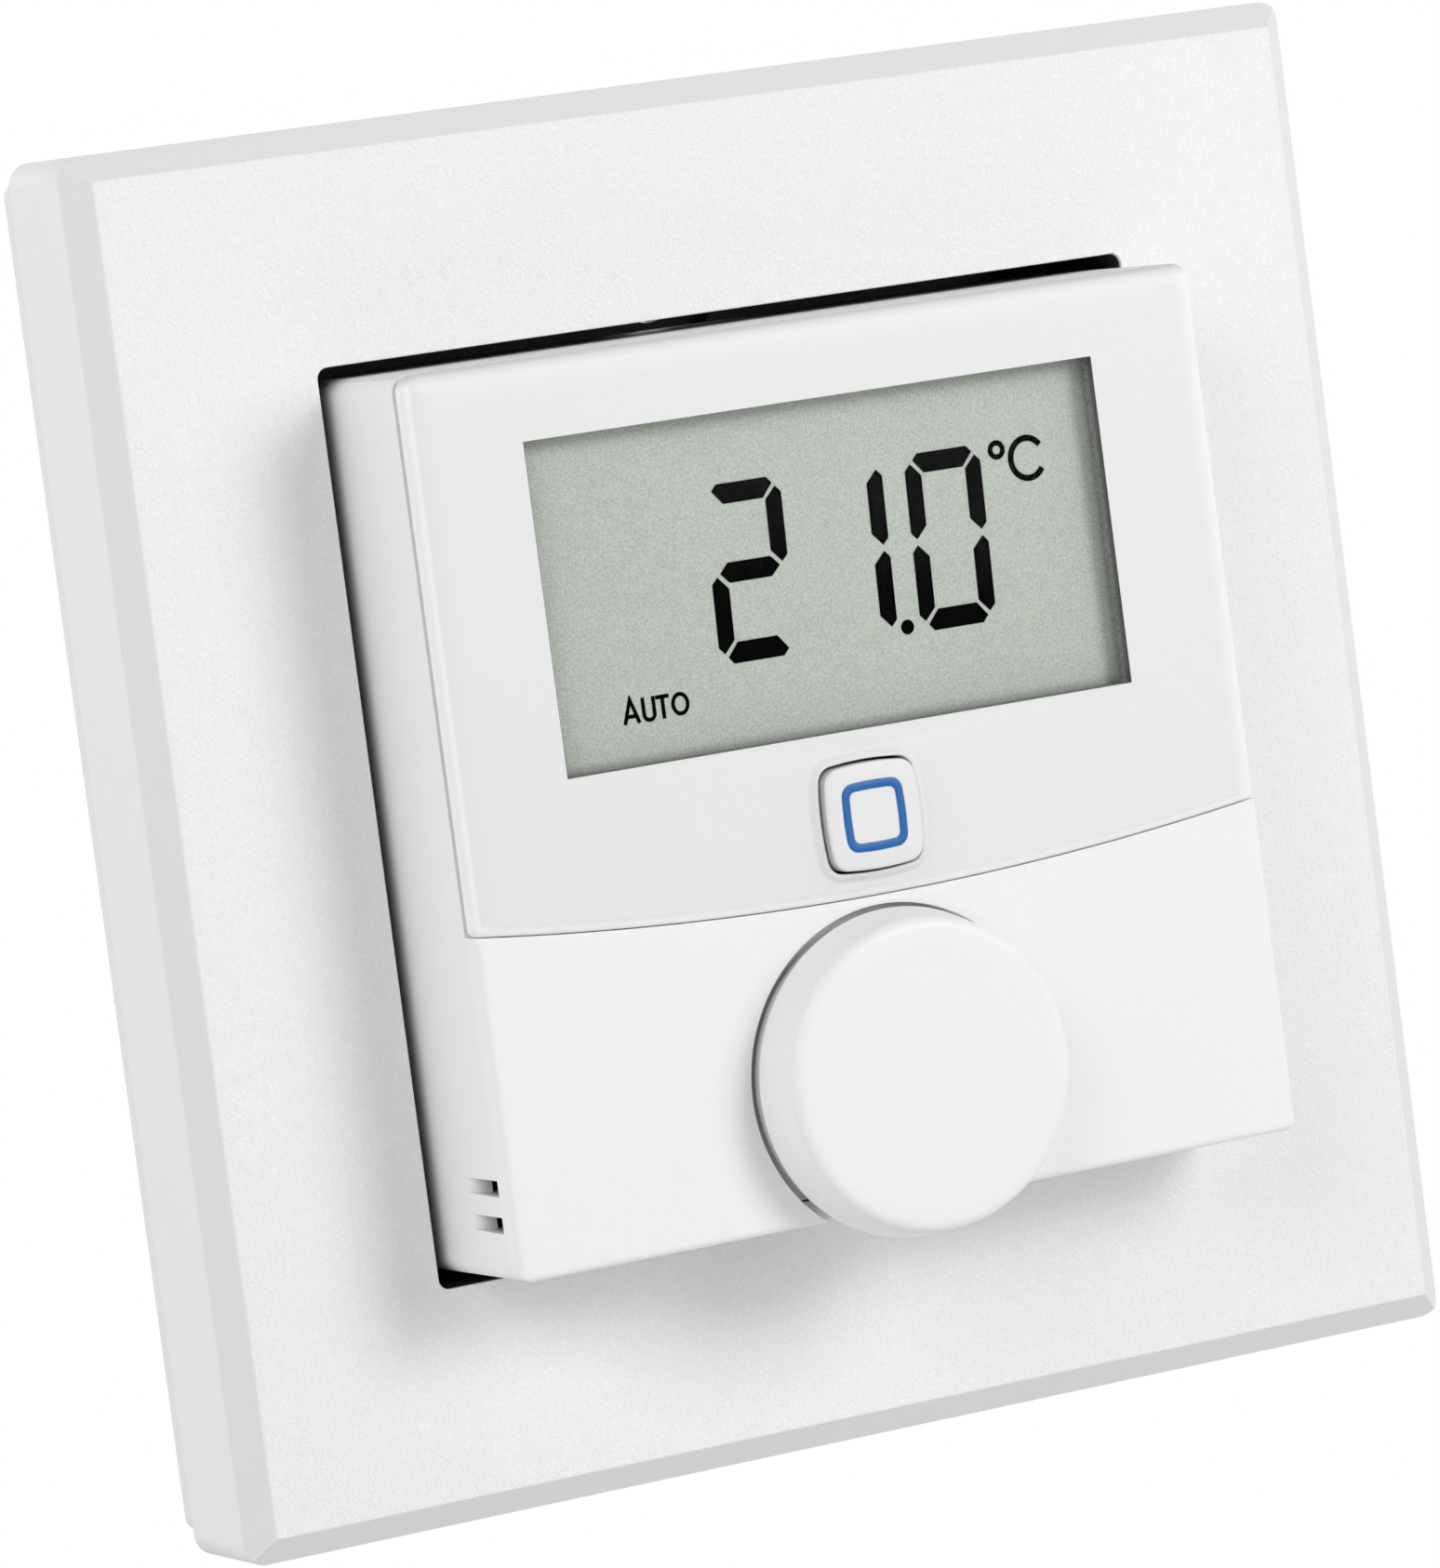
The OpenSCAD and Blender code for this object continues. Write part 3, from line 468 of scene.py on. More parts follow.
@dataclass(frozen=True)
class CoverPlastic:
    """Satin cover over a white mask. A highlight is painted on its clear rim: crisply at the left
    and along the curved split, softly at the right; along the top a painted shade darkens it."""

    name: str
    colour: Colour
    # colour of the painted highlight on the rim, and of the painted shade along the top
    painted_highlight_colour: Colour
    painted_top_shade_colour: Colour
    half_width_mm: float = 0.0
    top_mm: float = 0.0
    split_mm: Point = (0.0, 0.0)  # the split's radius, and its middle's height
    # widths of the painted highlight at the left and split and at the right, and of the top's
    # painted shade
    painted_rim_mm: float = 0.5
    painted_glow_mm: float = 1.5
    painted_top_shade_mm: float = 0.9
    fade_mm: float = 0.12
    cloud_tone: float = 0.99
    roughness: float = 0.45
    grain_mm: float = 0.2
    grain_depth_mm: float = 0.012

    def material(self) -> bpy.types.Material:
        """Makes the material."""
        sheet = Sheet(self.name)
        x, _, z = sheet.axes()
        radius, middle = self.split_mm
        away = z - middle
        low = radius - (x * x + away * away) ** 0.5
        left = self.half_width_mm + x
        # painted highlight along the left edge and the split
        rim = 1 - low.least(left).fade(self.painted_rim_mm - self.fade_mm, self.painted_rim_mm + self.fade_mm)
        # painted highlight, softer, towards the right edge
        glow = 1 - (self.half_width_mm - x).fade(0.0, self.painted_glow_mm)
        # painted shade along the top
        painted_top_shade = 1 - (self.top_mm - z).fade(0.0, self.painted_top_shade_mm)
        plain = sheet.mottled(sheet.noise(CLOUD_MM, 3.0), self.colour, self.cloud_tone)
        edged = sheet.blend(rim.most(glow), plain, self.painted_highlight_colour)
        return sheet.finished(sheet.blend(painted_top_shade, edged, self.painted_top_shade_colour), self.roughness,
                              sheet.noise(self.grain_mm), self.grain_depth_mm, PLASTIC_SPREAD)


@dataclass(frozen=True)
class DisplayFilm:
    """Grey-green anti-glare film of a reflective display.

    It darkens towards the window's right and lower edges, in the shade of the window's wall.
    """

    name: str
    colour: Colour
    right_mm: float = 0.0
    low_mm: float = 0.0
    sparkle_mm: float = 0.13
    sparkle_share: float = 0.85
    sparkle_depth_mm: float = 0.003
    cloud_mm: float = 7.0
    low_tone: float = 0.79
    high_tone: float = 1.2
    side_reach_mm: float = 0.45
    side_dusk: float = 0.58
    low_reach_mm: float = 0.7
    low_dusk: float = 0.65
    beyond_mm: float = 0.3
    dusk_tone: float = 0.08
    roughness: float = 0.6
    ior: float = 1.35

    def material(self) -> bpy.types.Material:
        """Makes the material."""
        sheet = Sheet(self.name)
        x, _, z = sheet.axes()
        sparkle = sheet.noise(self.sparkle_mm, 3.0, 0.65)
        cloud = sheet.noise(self.cloud_mm)
        tone = sparkle.fade(0.3, 0.7) * self.sparkle_share + cloud * (1 - self.sparkle_share)
        lit = sheet.blend(tone, toned(self.colour, self.low_tone),
                          toned(self.colour, self.high_tone))
        beside = x.fade(self.right_mm - self.side_reach_mm, self.right_mm + self.beyond_mm)
        under = (self.low_mm - z).fade(-self.low_reach_mm, self.beyond_mm)
        dusk = (beside * self.side_dusk).most(under * self.low_dusk)
        return sheet.finished(sheet.blend(dusk, lit, toned(self.colour, self.dusk_tone)),
                              self.roughness, sparkle, self.sparkle_depth_mm, IOR=self.ior)


@dataclass(frozen=True)
class DisplayInk:
    """Black of the display's darkened segments."""

    name: str = "display_ink"
    low: Colour = (0.0006, 0.0006, 0.0006)
    high: Colour = (0.0014, 0.0016, 0.0014)
    cloud_mm: float = 0.5
    roughness: float = 0.85
    ior: float = 1.04

    def material(self) -> bpy.types.Material:
        """Makes the material."""
        sheet = Sheet(self.name)
        cloud = sheet.noise(self.cloud_mm)
        return sheet.finished(sheet.blend(cloud, self.low, self.high), self.roughness, cloud,
                              IOR=self.ior)


@dataclass(frozen=True)
class Metal:
    """Sheet, drawn or turned metal with fine brushing along one axis."""

    name: str
    colour: Colour
    roughness: float = 0.3
    brush_axis: int = 0
    brush_squeeze: float = 0.08
    lines_per_mm: float = 4.2
    line_depth_mm: float = 0.004
    spread: float = 0.25
    stain_mm: float = 3.0
    stain_tone: float = 0.86

    def material(self) -> bpy.types.Material:
        """Makes the material."""
        sheet = Sheet(self.name)
        squeeze = [1.0, 1.0, 1.0]
        squeeze[self.brush_axis] = self.brush_squeeze
        lines = sheet.noise(1 / self.lines_per_mm, 3.0, squeeze=squeeze)
        colour = sheet.mottled(sheet.noise(self.stain_mm), self.colour, self.stain_tone)
        return sheet.finished(colour, self.roughness, lines, self.line_depth_mm, self.spread,
                              Metallic=1.0)


@dataclass(frozen=True)
class Rubbery:
    """Soft foam or silicone, open-celled or striped. Open cells are darker at their middles:
    painted shade in their pits.
    """

    name: str
    colour: Colour
    cell_mm: float = 0.25
    stripes_mm: float = 0.0
    cell_depth_mm: float = 0.04
    low_tone: float = 0.5
    roughness: float = 0.85

    def material(self) -> bpy.types.Material:
        """Makes the material."""
        sheet = Sheet(self.name)
        pits = sheet.cells(self.cell_mm)
        # painted shade: without stripes, each cell is darker at its middle, where its pit is
        # deepest
        tone = pits.fade(0.1, 0.6)
        if self.stripes_mm:
            x, _, _ = sheet.axes()
            tone = (x * (math.tau / self.stripes_mm)).wave().fade(-0.2, 0.2)
        colour = sheet.mottled(tone, self.colour, self.low_tone)
        return sheet.finished(colour, self.roughness, pits, self.cell_depth_mm)


@dataclass(frozen=True)
class BoardLaminate:
    """Circuit board: solder resist over bent copper tracks and patches."""

    name: str
    colour: Colour
    track_turn: float = 1.6  # radians of the tracks' wave for each millimetre
    patch_turn: float = 0.55  # the same for the patches
    bend_mm: float = 6.0
    bend: float = 9.0
    patch_bend: float = 0.6
    copper_share: float = 0.8
    copper_tone: float = 1.9
    copper_depth_mm: float = 0.02
    roughness: float = 0.36
    spread: float = 0.08
    coat: float = 0.3

    def material(self) -> bpy.types.Material:
        """Makes the material."""
        sheet = Sheet(self.name)
        x, _, z = sheet.axes()
        bend = sheet.noise(self.bend_mm) * self.bend
        track = abs((x * self.track_turn + bend).wave()).fade(0.86, 0.92)
        patch = (z * self.patch_turn + bend * self.patch_bend).wave().fade(0.35, 0.4)
        copper = track.most(patch) * self.copper_share
        bright = tuple(min(1.0, c + 0.01) for c in toned(self.colour, self.copper_tone))
        return sheet.finished(sheet.blend(copper, self.colour, bright), self.roughness, copper,
                              self.copper_depth_mm, self.spread, Coat_Weight=self.coat)


@dataclass(frozen=True)
class BatterySleeve:
    """Printed film of a battery: two tones, a thin line between them, metal at the ends.

    Shares run from 0 at the cell's base to 1 at its nub.
    """

    name: str
    base_x_mm: float
    nub_x_mm: float
    dark: Colour
    warm: Colour
    line_colour: Colour = (0.72, 0.72, 0.7)
    metal_colour: Colour = (0.62, 0.61, 0.58)
    line_at: float = 0.72
    line_fade: Point = (0.012, 0.008)
    sleeve: Point = (0.012, 0.968)
    scuff_mm: float = 1.4
    scuff_depth_mm: float = 0.006
    roughness: float = 0.28
    spread: float = 0.2
    metallic: float = 0.9

    def material(self) -> bpy.types.Material:
        """Makes the material."""
        sheet = Sheet(self.name)
        x, _, _ = sheet.axes()
        along = (x - self.base_x_mm) / (self.nub_x_mm - self.base_x_mm)
        start, end = self.sleeve
        ends = abs(along - (start + end) / 2).above((end - start) / 2)
        film = sheet.blend(along.above(self.line_at), self.dark, self.warm)
        film = sheet.blend(abs(along - self.line_at).fade(*self.line_fade), film, self.line_colour)
        return sheet.finished(sheet.blend(ends, film, self.metal_colour), self.roughness,
                              sheet.noise(self.scuff_mm, 4.0), self.scuff_depth_mm, self.spread,
                              Metallic=ends * self.metallic)


@dataclass(frozen=True)
class ClearPart:
    """Glass or clear resin with a faint tint and haze."""

    name: str
    colour: Colour
    alpha: float = 0.4
    roughness: float = 0.1
    spread: float = 0.04
    haze_mm: float = 2.5
    haze_tone: float = 0.92
    haze_alpha: float = 0.2

    def material(self) -> bpy.types.Material:
        """Makes the material."""
        sheet = Sheet(self.name)
        haze = sheet.noise(self.haze_mm, 3.0)
        colour = sheet.mottled(haze, self.colour, self.haze_tone)
        return sheet.finished(colour, self.roughness, haze, spread=self.spread,
                              Alpha=self.alpha * (1 + (haze - 0.5) * self.haze_alpha))


Finish = (
    MouldedPlastic | ErodedPlastic | CoverPlastic | DisplayFilm | DisplayInk | Metal
    | Rubbery | BoardLaminate | BatterySleeve | ClearPart
)


class Palette:
    """Makes each finish once and hands it out."""

    def __init__(self) -> None:
        """Starts with nothing made."""
        self.made: dict[str, bpy.types.Material] = {}

    def of(self, finish: Finish) -> bpy.types.Material:
        """The material of a finish, made the first time it is asked for."""
        if finish.name not in self.made:
            self.made[finish.name] = finish.material()
        return self.made[finish.name]


# ---- Shapes ----


def rectangle(width: float, height: float, radius: float, steps: int = 6,
              centre: Point = (0.0, 0.0)) -> list[Point]:
    """A rectangle with round corners.

    Args:
        width: its width in millimetres.
        height: its height.
        radius: the corners' radius.
        steps: how many pieces each corner has.
        centre: its middle.

    Returns:
        Its points, anticlockwise as seen from the room.
    """
    points = []
    for quarter, (sx, sz) in enumerate(((1, 1), (-1, 1), (-1, -1), (1, -1))):
        corner = (centre[0] + sx * (width / 2 - radius), centre[1] + sz * (height / 2 - radius))
        points += arc(corner, (radius, radius), 90 * quarter, 90 * (quarter + 1), steps)
    return points


def arc(centre: Point, reach: Point, start_deg: float, end_deg: float, steps: int) -> list[Point]:
    """Points along the arc of an oval.

    Args:
        centre: the oval's middle.
        reach: half its width and half its height.
        start_deg: where the arc starts, anticlockwise from the right.
        end_deg: where it ends.
        steps: how many pieces it has.

    Returns:
        Its points, both ends included.
    """
    turns = (math.radians(start_deg + (end_deg - start_deg) * i / steps) for i in range(steps + 1))
    return [(centre[0] + reach[0] * math.cos(a), centre[1] + reach[1] * math.sin(a)) for a in turns]


def oval(centre: Point, reach: Point, count: int) -> list[Point]:
    """Points of a whole oval, anticlockwise as seen from the room."""
    return arc(centre, reach, 0, 360, count)[:-1]


def bulged_square(width: float, bulge: float, corner: float, centre: Point,
                  count: int = 160) -> list[Point]:
    """A square whose sides bulge and whose corners are round.

    Args:
        width: its width across the middle of its sides.
        bulge: the radius of its sides.
        corner: the radius of its corners.
        centre: its middle.
        count: how many points it has.

    Returns:
        Its points, anticlockwise as seen from the room.
    """
    half = width / 2
    flat = bulge - half
    at = (math.sqrt(2 * (bulge - corner) ** 2 - flat ** 2) - flat) / 2
    turn = math.atan2(at, at + flat)
    points = []
    for quarter in range(4):
        c, s = math.cos(quarter * math.pi / 2), math.sin(quarter * math.pi / 2)
        for i in range(count // 4):
            share = i / (count // 4)
            if share < 0.5:
                angle = -turn + 2 * turn * share / 0.5
                x, z = bulge * math.cos(angle) - flat, bulge * math.sin(angle)
            else:
                angle = turn + (math.pi / 2 - 2 * turn) * (share - 0.5) / 0.5
                x, z = at + corner * math.cos(angle), at + corner * math.sin(angle)
            points.append((centre[0] + x * c - z * s, centre[1] + x * s + z * c))
    return points


def corner_arc(at: Point, before: Point, after: Point, radius: float,
               steps: int = 6) -> list[Point]:
    """Rounds one corner of an outline.

    Args:
        at: the sharp corner.
        before: the unit direction that leads to it.
        after: the unit direction that leaves it.
        radius: the round's radius.
        steps: how many pieces it has.

    Returns:
        The round's points, from first to last.
    """
    cross = before[0] * after[1] - before[1] * after[0]
    turn = math.atan2(cross, before[0] * after[0] + before[1] * after[1])
    reach = radius * math.tan(turn / 2)
    start = (at[0] - before[0] * reach, at[1] - before[1] * reach)
    middle = (start[0] - before[1] * radius, start[1] + before[0] * radius)
    first = math.degrees(math.atan2(start[1] - middle[1], start[0] - middle[0]))
    return arc(middle, (radius, radius), first, first + math.degrees(turn), steps)


def round_over(radius: float, steps: int = 5) -> list[Point]:
    """The lines of a rounded edge, from the side to the face.

    Args:
        radius: the edge's radius.
        steps: how many pieces it has.

    Returns:
        Each line's inset from the side and drop from the face.
    """
    angles = (math.pi / 2 * i / steps for i in range(steps + 1))
    return [(radius * (1 - math.cos(a)), radius * (1 - math.sin(a))) for a in angles]


def inside(point: Point, outline: Sequence[Point]) -> bool:
    """Tells whether a point lies inside an outline.

    Args:
        point: the point.
        outline: the outline's points in order.

    Returns:
        True where it does.
    """
    x, z = point
    hit = False
    for (ax, az), (bx, bz) in zip(outline, [*outline[1:], outline[0]]):
        if (az > z) != (bz > z) and x < (bx - ax) * (z - az) / (bz - az) + ax:
            hit = not hit
    return hit


def modify(thing: bpy.types.Object, name: str, kind: str, **settings: object) -> None:
    """Adds a modifier to an object.

    Args:
        thing: the object.
        name: the modifier's name.
        kind: its type.
        settings: its attributes and what they are set to.
    """
    modifier = thing.modifiers.new(name, kind)
    for key, setting in settings.items():
        setattr(modifier, key, setting)


class Draft:
    """Collects a piece's points and faces, in millimetres from the wall's frame."""

    def __init__(self) -> None:
        """Starts empty."""
        self.points: list[Vector] = []
        self.faces: list[tuple[int, ...]] = []

    def loop(self, outline: Iterable[Point], out: float) -> list[int]:
        """Adds an outline.

        Args:
            outline: its points.
            out: its distance from the wall.

        Returns:
            Its point numbers.
        """
        first = len(self.points)
        self.points += [Vector((x, -out, z)) * MM for x, z in outline]
        return list(range(first, len(self.points)))

    def bridge(self, back: list[int], front: list[int]) -> None:
        """Joins two outlines with a band whose outside faces away from them."""
        for i in range(len(back)):
            j = (i + 1) % len(back)
            self.faces.append((back[i], back[j], front[j], front[i]))

    def stack(self, loops: list[list[int]]) -> None:
        """Joins each outline to the next."""
        for back, front in zip(loops, loops[1:]):
            self.bridge(back, front)

    def cap(self, outline: list[int], holes: Sequence[list[int]] = (), rear: bool = False) -> None:
        """Fills an outline with flat faces.

        Args:
            outline: its point numbers.
            holes: the point numbers of each opening to leave.
            rear: whether the faces look at the wall.
        """
        numbers: list[int] = []
        edges: list[tuple[int, int]] = []
        loops: list[list[Point]] = []
        for loop in (outline, *holes):
            start, count = len(numbers), len(loop)
            numbers += loop
            edges += [(start + i, start + (i + 1) % count) for i in range(count)]
            loops.append([(self.points[n].x / MM, self.points[n].z / MM) for n in loop])
        flat = [Vector(point) for loop in loops for point in loop]
        places, _, faces, sources, *_ = delaunay_2d_cdt(flat, edges, [], 0, SAME_MM)
        rim, *gaps = loops
        for face in faces:
            middle = tuple(sum((places[i] for i in face), Vector((0.0, 0.0))) / len(face))
            if not inside(middle, rim) or any(inside(middle, gap) for gap in gaps):
                continue
            ring = [numbers[sources[i][0]] for i in face]
            a, b, c = (self.points[n] for n in ring[:3])
            faces_room = (b - a).cross(c - a).y < 0
            self.faces.append(tuple(ring if faces_room != rear else reversed(ring)))

    def piece(self, name: str, material: bpy.types.Material,
              sharp_deg: float = 35.0) -> bpy.types.Object:
        """Makes the object.

        Args:
            name: the object's name.
            material: its finish.
            sharp_deg: the angle above which an edge stays sharp.

        Returns:
            The new object, in the row's frame.
        """
        mesh = bpy.data.meshes.new(name)
        mesh.from_pydata(self.points, [], self.faces)
        shape = bmesh.new()
        shape.from_mesh(mesh)
        bmesh.ops.remove_doubles(shape, verts=shape.verts, dist=FUSE_M)
        bmesh.ops.dissolve_degenerate(shape, edges=shape.edges, dist=SLIVER_M)
        bmesh.ops.recalc_face_normals(shape, faces=shape.faces)
        shape.to_mesh(mesh)
        shape.free()
        mesh.materials.append(material)
        mesh.shade_smooth()
        mesh.set_sharp_from_angle(angle=math.radians(sharp_deg))
        thing = bpy.data.objects.new(name, mesh)
        bpy.context.scene.collection.objects.link(thing)
        modify(thing, "even_shading", "WEIGHTED_NORMAL", keep_sharp=True)
        LOG.info("%s: %d faces", name, len(mesh.polygons))
        return thing


@dataclass
class Eased:
    """Gives a CAD node softened edges by modifiers, and its finish."""

    palette: Palette
    nodes: dict[str, bpy.types.Object]
    weld_mm: float = 0.002
    flat_deg: float = 0.4
    edge_deg: float = 28.0
    edge_segments: int = 3

    def dress(self, name: str, finish: Finish, edge_mm: float = 0.0) -> None:
        """Dresses one CAD node.

        Args:
            name: the node.
            finish: its finish.
            edge_mm: how wide its sharp edges are rounded.
        """
        thing = self.nodes[name]
        thing.data.materials.clear()
        thing.data.materials.append(self.palette.of(finish))
        if edge_mm:
            modify(thing, "weld", "WELD", merge_threshold=self.weld_mm * MM)
            modify(thing, "merge_flats", "DECIMATE", decimate_type="DISSOLVE",
                   angle_limit=math.radians(self.flat_deg))
            modify(thing, "eased_edges", "BEVEL", width=edge_mm * MM,
                   segments=self.edge_segments, limit_method="ANGLE",
                   angle_limit=math.radians(self.edge_deg), use_clamp_overlap=True,
                   harden_normals=True, miter_outer="MITER_ARC")
        LOG.info("%s dressed as %s", name, finish.name)


# ---- Finishes of this thermostat ----

FRAME_WHITE = grey(246)
PLATE_WHITE = MouldedPlastic("plate_white", grey(226), 0.55)
HOUSING_WHITE = MouldedPlastic("housing_white", grey(241), 0.5)
PANEL_WHITE = MouldedPlastic("panel_white", grey(243), 0.5, 0.24, 0.024, 0.015)
# second colour: painted highlight on the rim; third colour: painted shade along the top
COVER_WHITE = CoverPlastic("cover_white", grey(232), grey(244), grey(208))
PANE = ClearPart("display_pane", (0.02, 0.02, 0.02), 0.03, 0.06)
MASK_WHITE = MouldedPlastic("mask_white", grey(236), 0.36, 0.2, 0.0015, 0.012)
SKIRT_GREY = linear(190, 191, 189)
# painted shade in the vents' floors
PAINTED_VENT_SHADE = grey(150)
# painted shade in the groove under the cover's edge and on the panel's shelf
PAINTED_GROOVE_SHADE = grey(165)
# painted shade along the housing's roof
PAINTED_ROOF_SHADE = grey(222)
# painted shade on the walls of the display's window
PAINTED_WINDOW_SHADE = linear(102, 104, 101)
# painted shade on the walls of the frame's opening
PAINTED_OPENING_SHADE = grey(36)
# painted shade inside the housing and the panel
PAINTED_INSIDE_SHADE = grey(30)
# painted shade on the plate within the frame's opening
PAINTED_PLATE_SHADE = grey(44)
WHEEL_WHITE = MouldedPlastic("wheel_white", grey(242), 0.46, 0.16, 0.007, 0.012)
CAP_WHITE = MouldedPlastic("button_white", grey(233), 0.4, 0.15, 0.0015, 0.015)
RING_BLUE = MouldedPlastic("ring_blue", linear(2, 100, 175), 0.35, 0.3, 0.002, 0.12)
INNER_WHITE = MouldedPlastic("inner_white", linear(226, 226, 224), 0.55)
CHIP_BLACK = MouldedPlastic("chip_black", linear(30, 30, 33), 0.55, 0.08, 0.006, 0.3)
SENSOR_WHITE = MouldedPlastic("sensor_white", linear(232, 230, 222), 0.4)
PLUNGER_BLACK = MouldedPlastic("plunger_black", linear(24, 24, 25), 0.5, 0.1, 0.004, 0.3)
REFLECTOR = MouldedPlastic("reflector_pearl", linear(196, 202, 194), 0.3, 0.2, 0.002, 0.05)
FILM = DisplayFilm("display_film", linear(196, 204, 194))
INK = DisplayInk()
# its cells are darker at their middles: painted shade in their pits
FOAM = Rubbery("gasket_foam", linear(146, 148, 145), 0.22)
ZEBRA = Rubbery("contact_rubber", linear(150, 150, 152), 0.3, 0.36)
BOARD = BoardLaminate("board_green", linear(18, 84, 46))
GLASS = ClearPart("display_glass", linear(206, 214, 206), 0.5)
LENS = ClearPart("light_lens", linear(250, 246, 214), 0.75, 0.17)
SHIELD = Metal("shield_tin", linear(200, 202, 205), 0.32)
CAN = Metal("crystal_can", linear(206, 207, 210), 0.24)
CAPACITOR = Metal("capacitor_can", linear(150, 152, 158), 0.3, 1)
ENCODER = Metal("encoder_steel", linear(188, 190, 192), 0.34)
SWITCH = Metal("switch_steel", grey(198), 0.36)
SHAFT = Metal("shaft_aluminium", linear(205, 206, 208), 0.3, 1)
BRASS = Metal("pin_brass", linear(212, 178, 102), 0.3, 1)
GILT = Metal("antenna_gilt", linear(214, 170, 92), 0.25, 2)
NICKEL = Metal("contact_nickel", linear(214, 212, 204), 0.22, 2)
SCREW = Metal("screw_black", linear(70, 70, 74), 0.38, 1)
CELL_DARK = linear(38, 42, 50)
CELL_WARM = linear(196, 142, 74)

# ---- Sub-assemblies ----

CLEAR_MM = 0.02  # what keeps a loose piece or a second colour off the face beside it
GASKET_MM = 0.75  # how wide the bars of the display's foam gasket are
KEY_BULGE_MM = 20.0  # the radius of the sides of the button and of its hole


def limits(name: str) -> tuple[Vector, Vector]:
    """Lowest and highest corner of a CAD node in millimetres: x, distance from the wall, z."""
    low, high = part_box(name)
    return (Vector((low[0], -high[1], low[2])) / MM, Vector((high[0], -low[1], high[2])) / MM)


def middle_of(low: Vector, high: Vector) -> Point:
    """The middle of a box's corners, as seen from the room."""
    return ((low.x + high.x) / 2, (low.z + high.z) / 2)


def seat(draft: Draft, name: str, material: bpy.types.Material, body: str, slot: str,
         *replaced: str) -> None:
    """Makes a draft into a piece that rides on a body.

    Args:
        draft: the piece's points and faces.
        name: its name.
        material: its finish.
        body: the body that carries it.
        slot: not used.
        replaced: the CAD nodes that it stands for.
    """
    thing = draft.piece(name, material)
    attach(thing, body)
    if replaced:
        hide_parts(*replaced)


@dataclass
class WallSet:
    """Mounting plate and cover frame, which stay on the wall."""

    eased: Eased
    frame_edge_mm: float = 0.2
    opening_mm: float = 56.7
    shade_mm: float = 0.3
    shade_short_mm: float = 0.1
    rear_mm: float = 0.3

    def build(self) -> None:
        """Dresses both. Painted shade makes them dark within the frame's opening."""
        _, high = limits("cover_frame")
        reach = self.opening_mm / 2 + self.frame_edge_mm
        # painted shade: the plate is dark where it lies within the frame's opening
        deep = Second(PAINTED_PLATE_SHADE, self.rear_mm, high.y, reach, reach)
        self.eased.dress("mounting_plate", replace(PLATE_WHITE, seconds=(deep,)))
        walls = reach + self.shade_mm
        # painted shade on the walls of the frame's opening, coming in over shade_mm
        shade = Second(PAINTED_OPENING_SHADE, 0.0, high.y - self.shade_short_mm, walls, walls,
                       soft_mm=self.shade_mm)
        finish = ErodedPlastic("frame_white", FRAME_WHITE, high.y, seconds=(shade,))
        self.eased.dress("cover_frame", finish, self.frame_edge_mm)


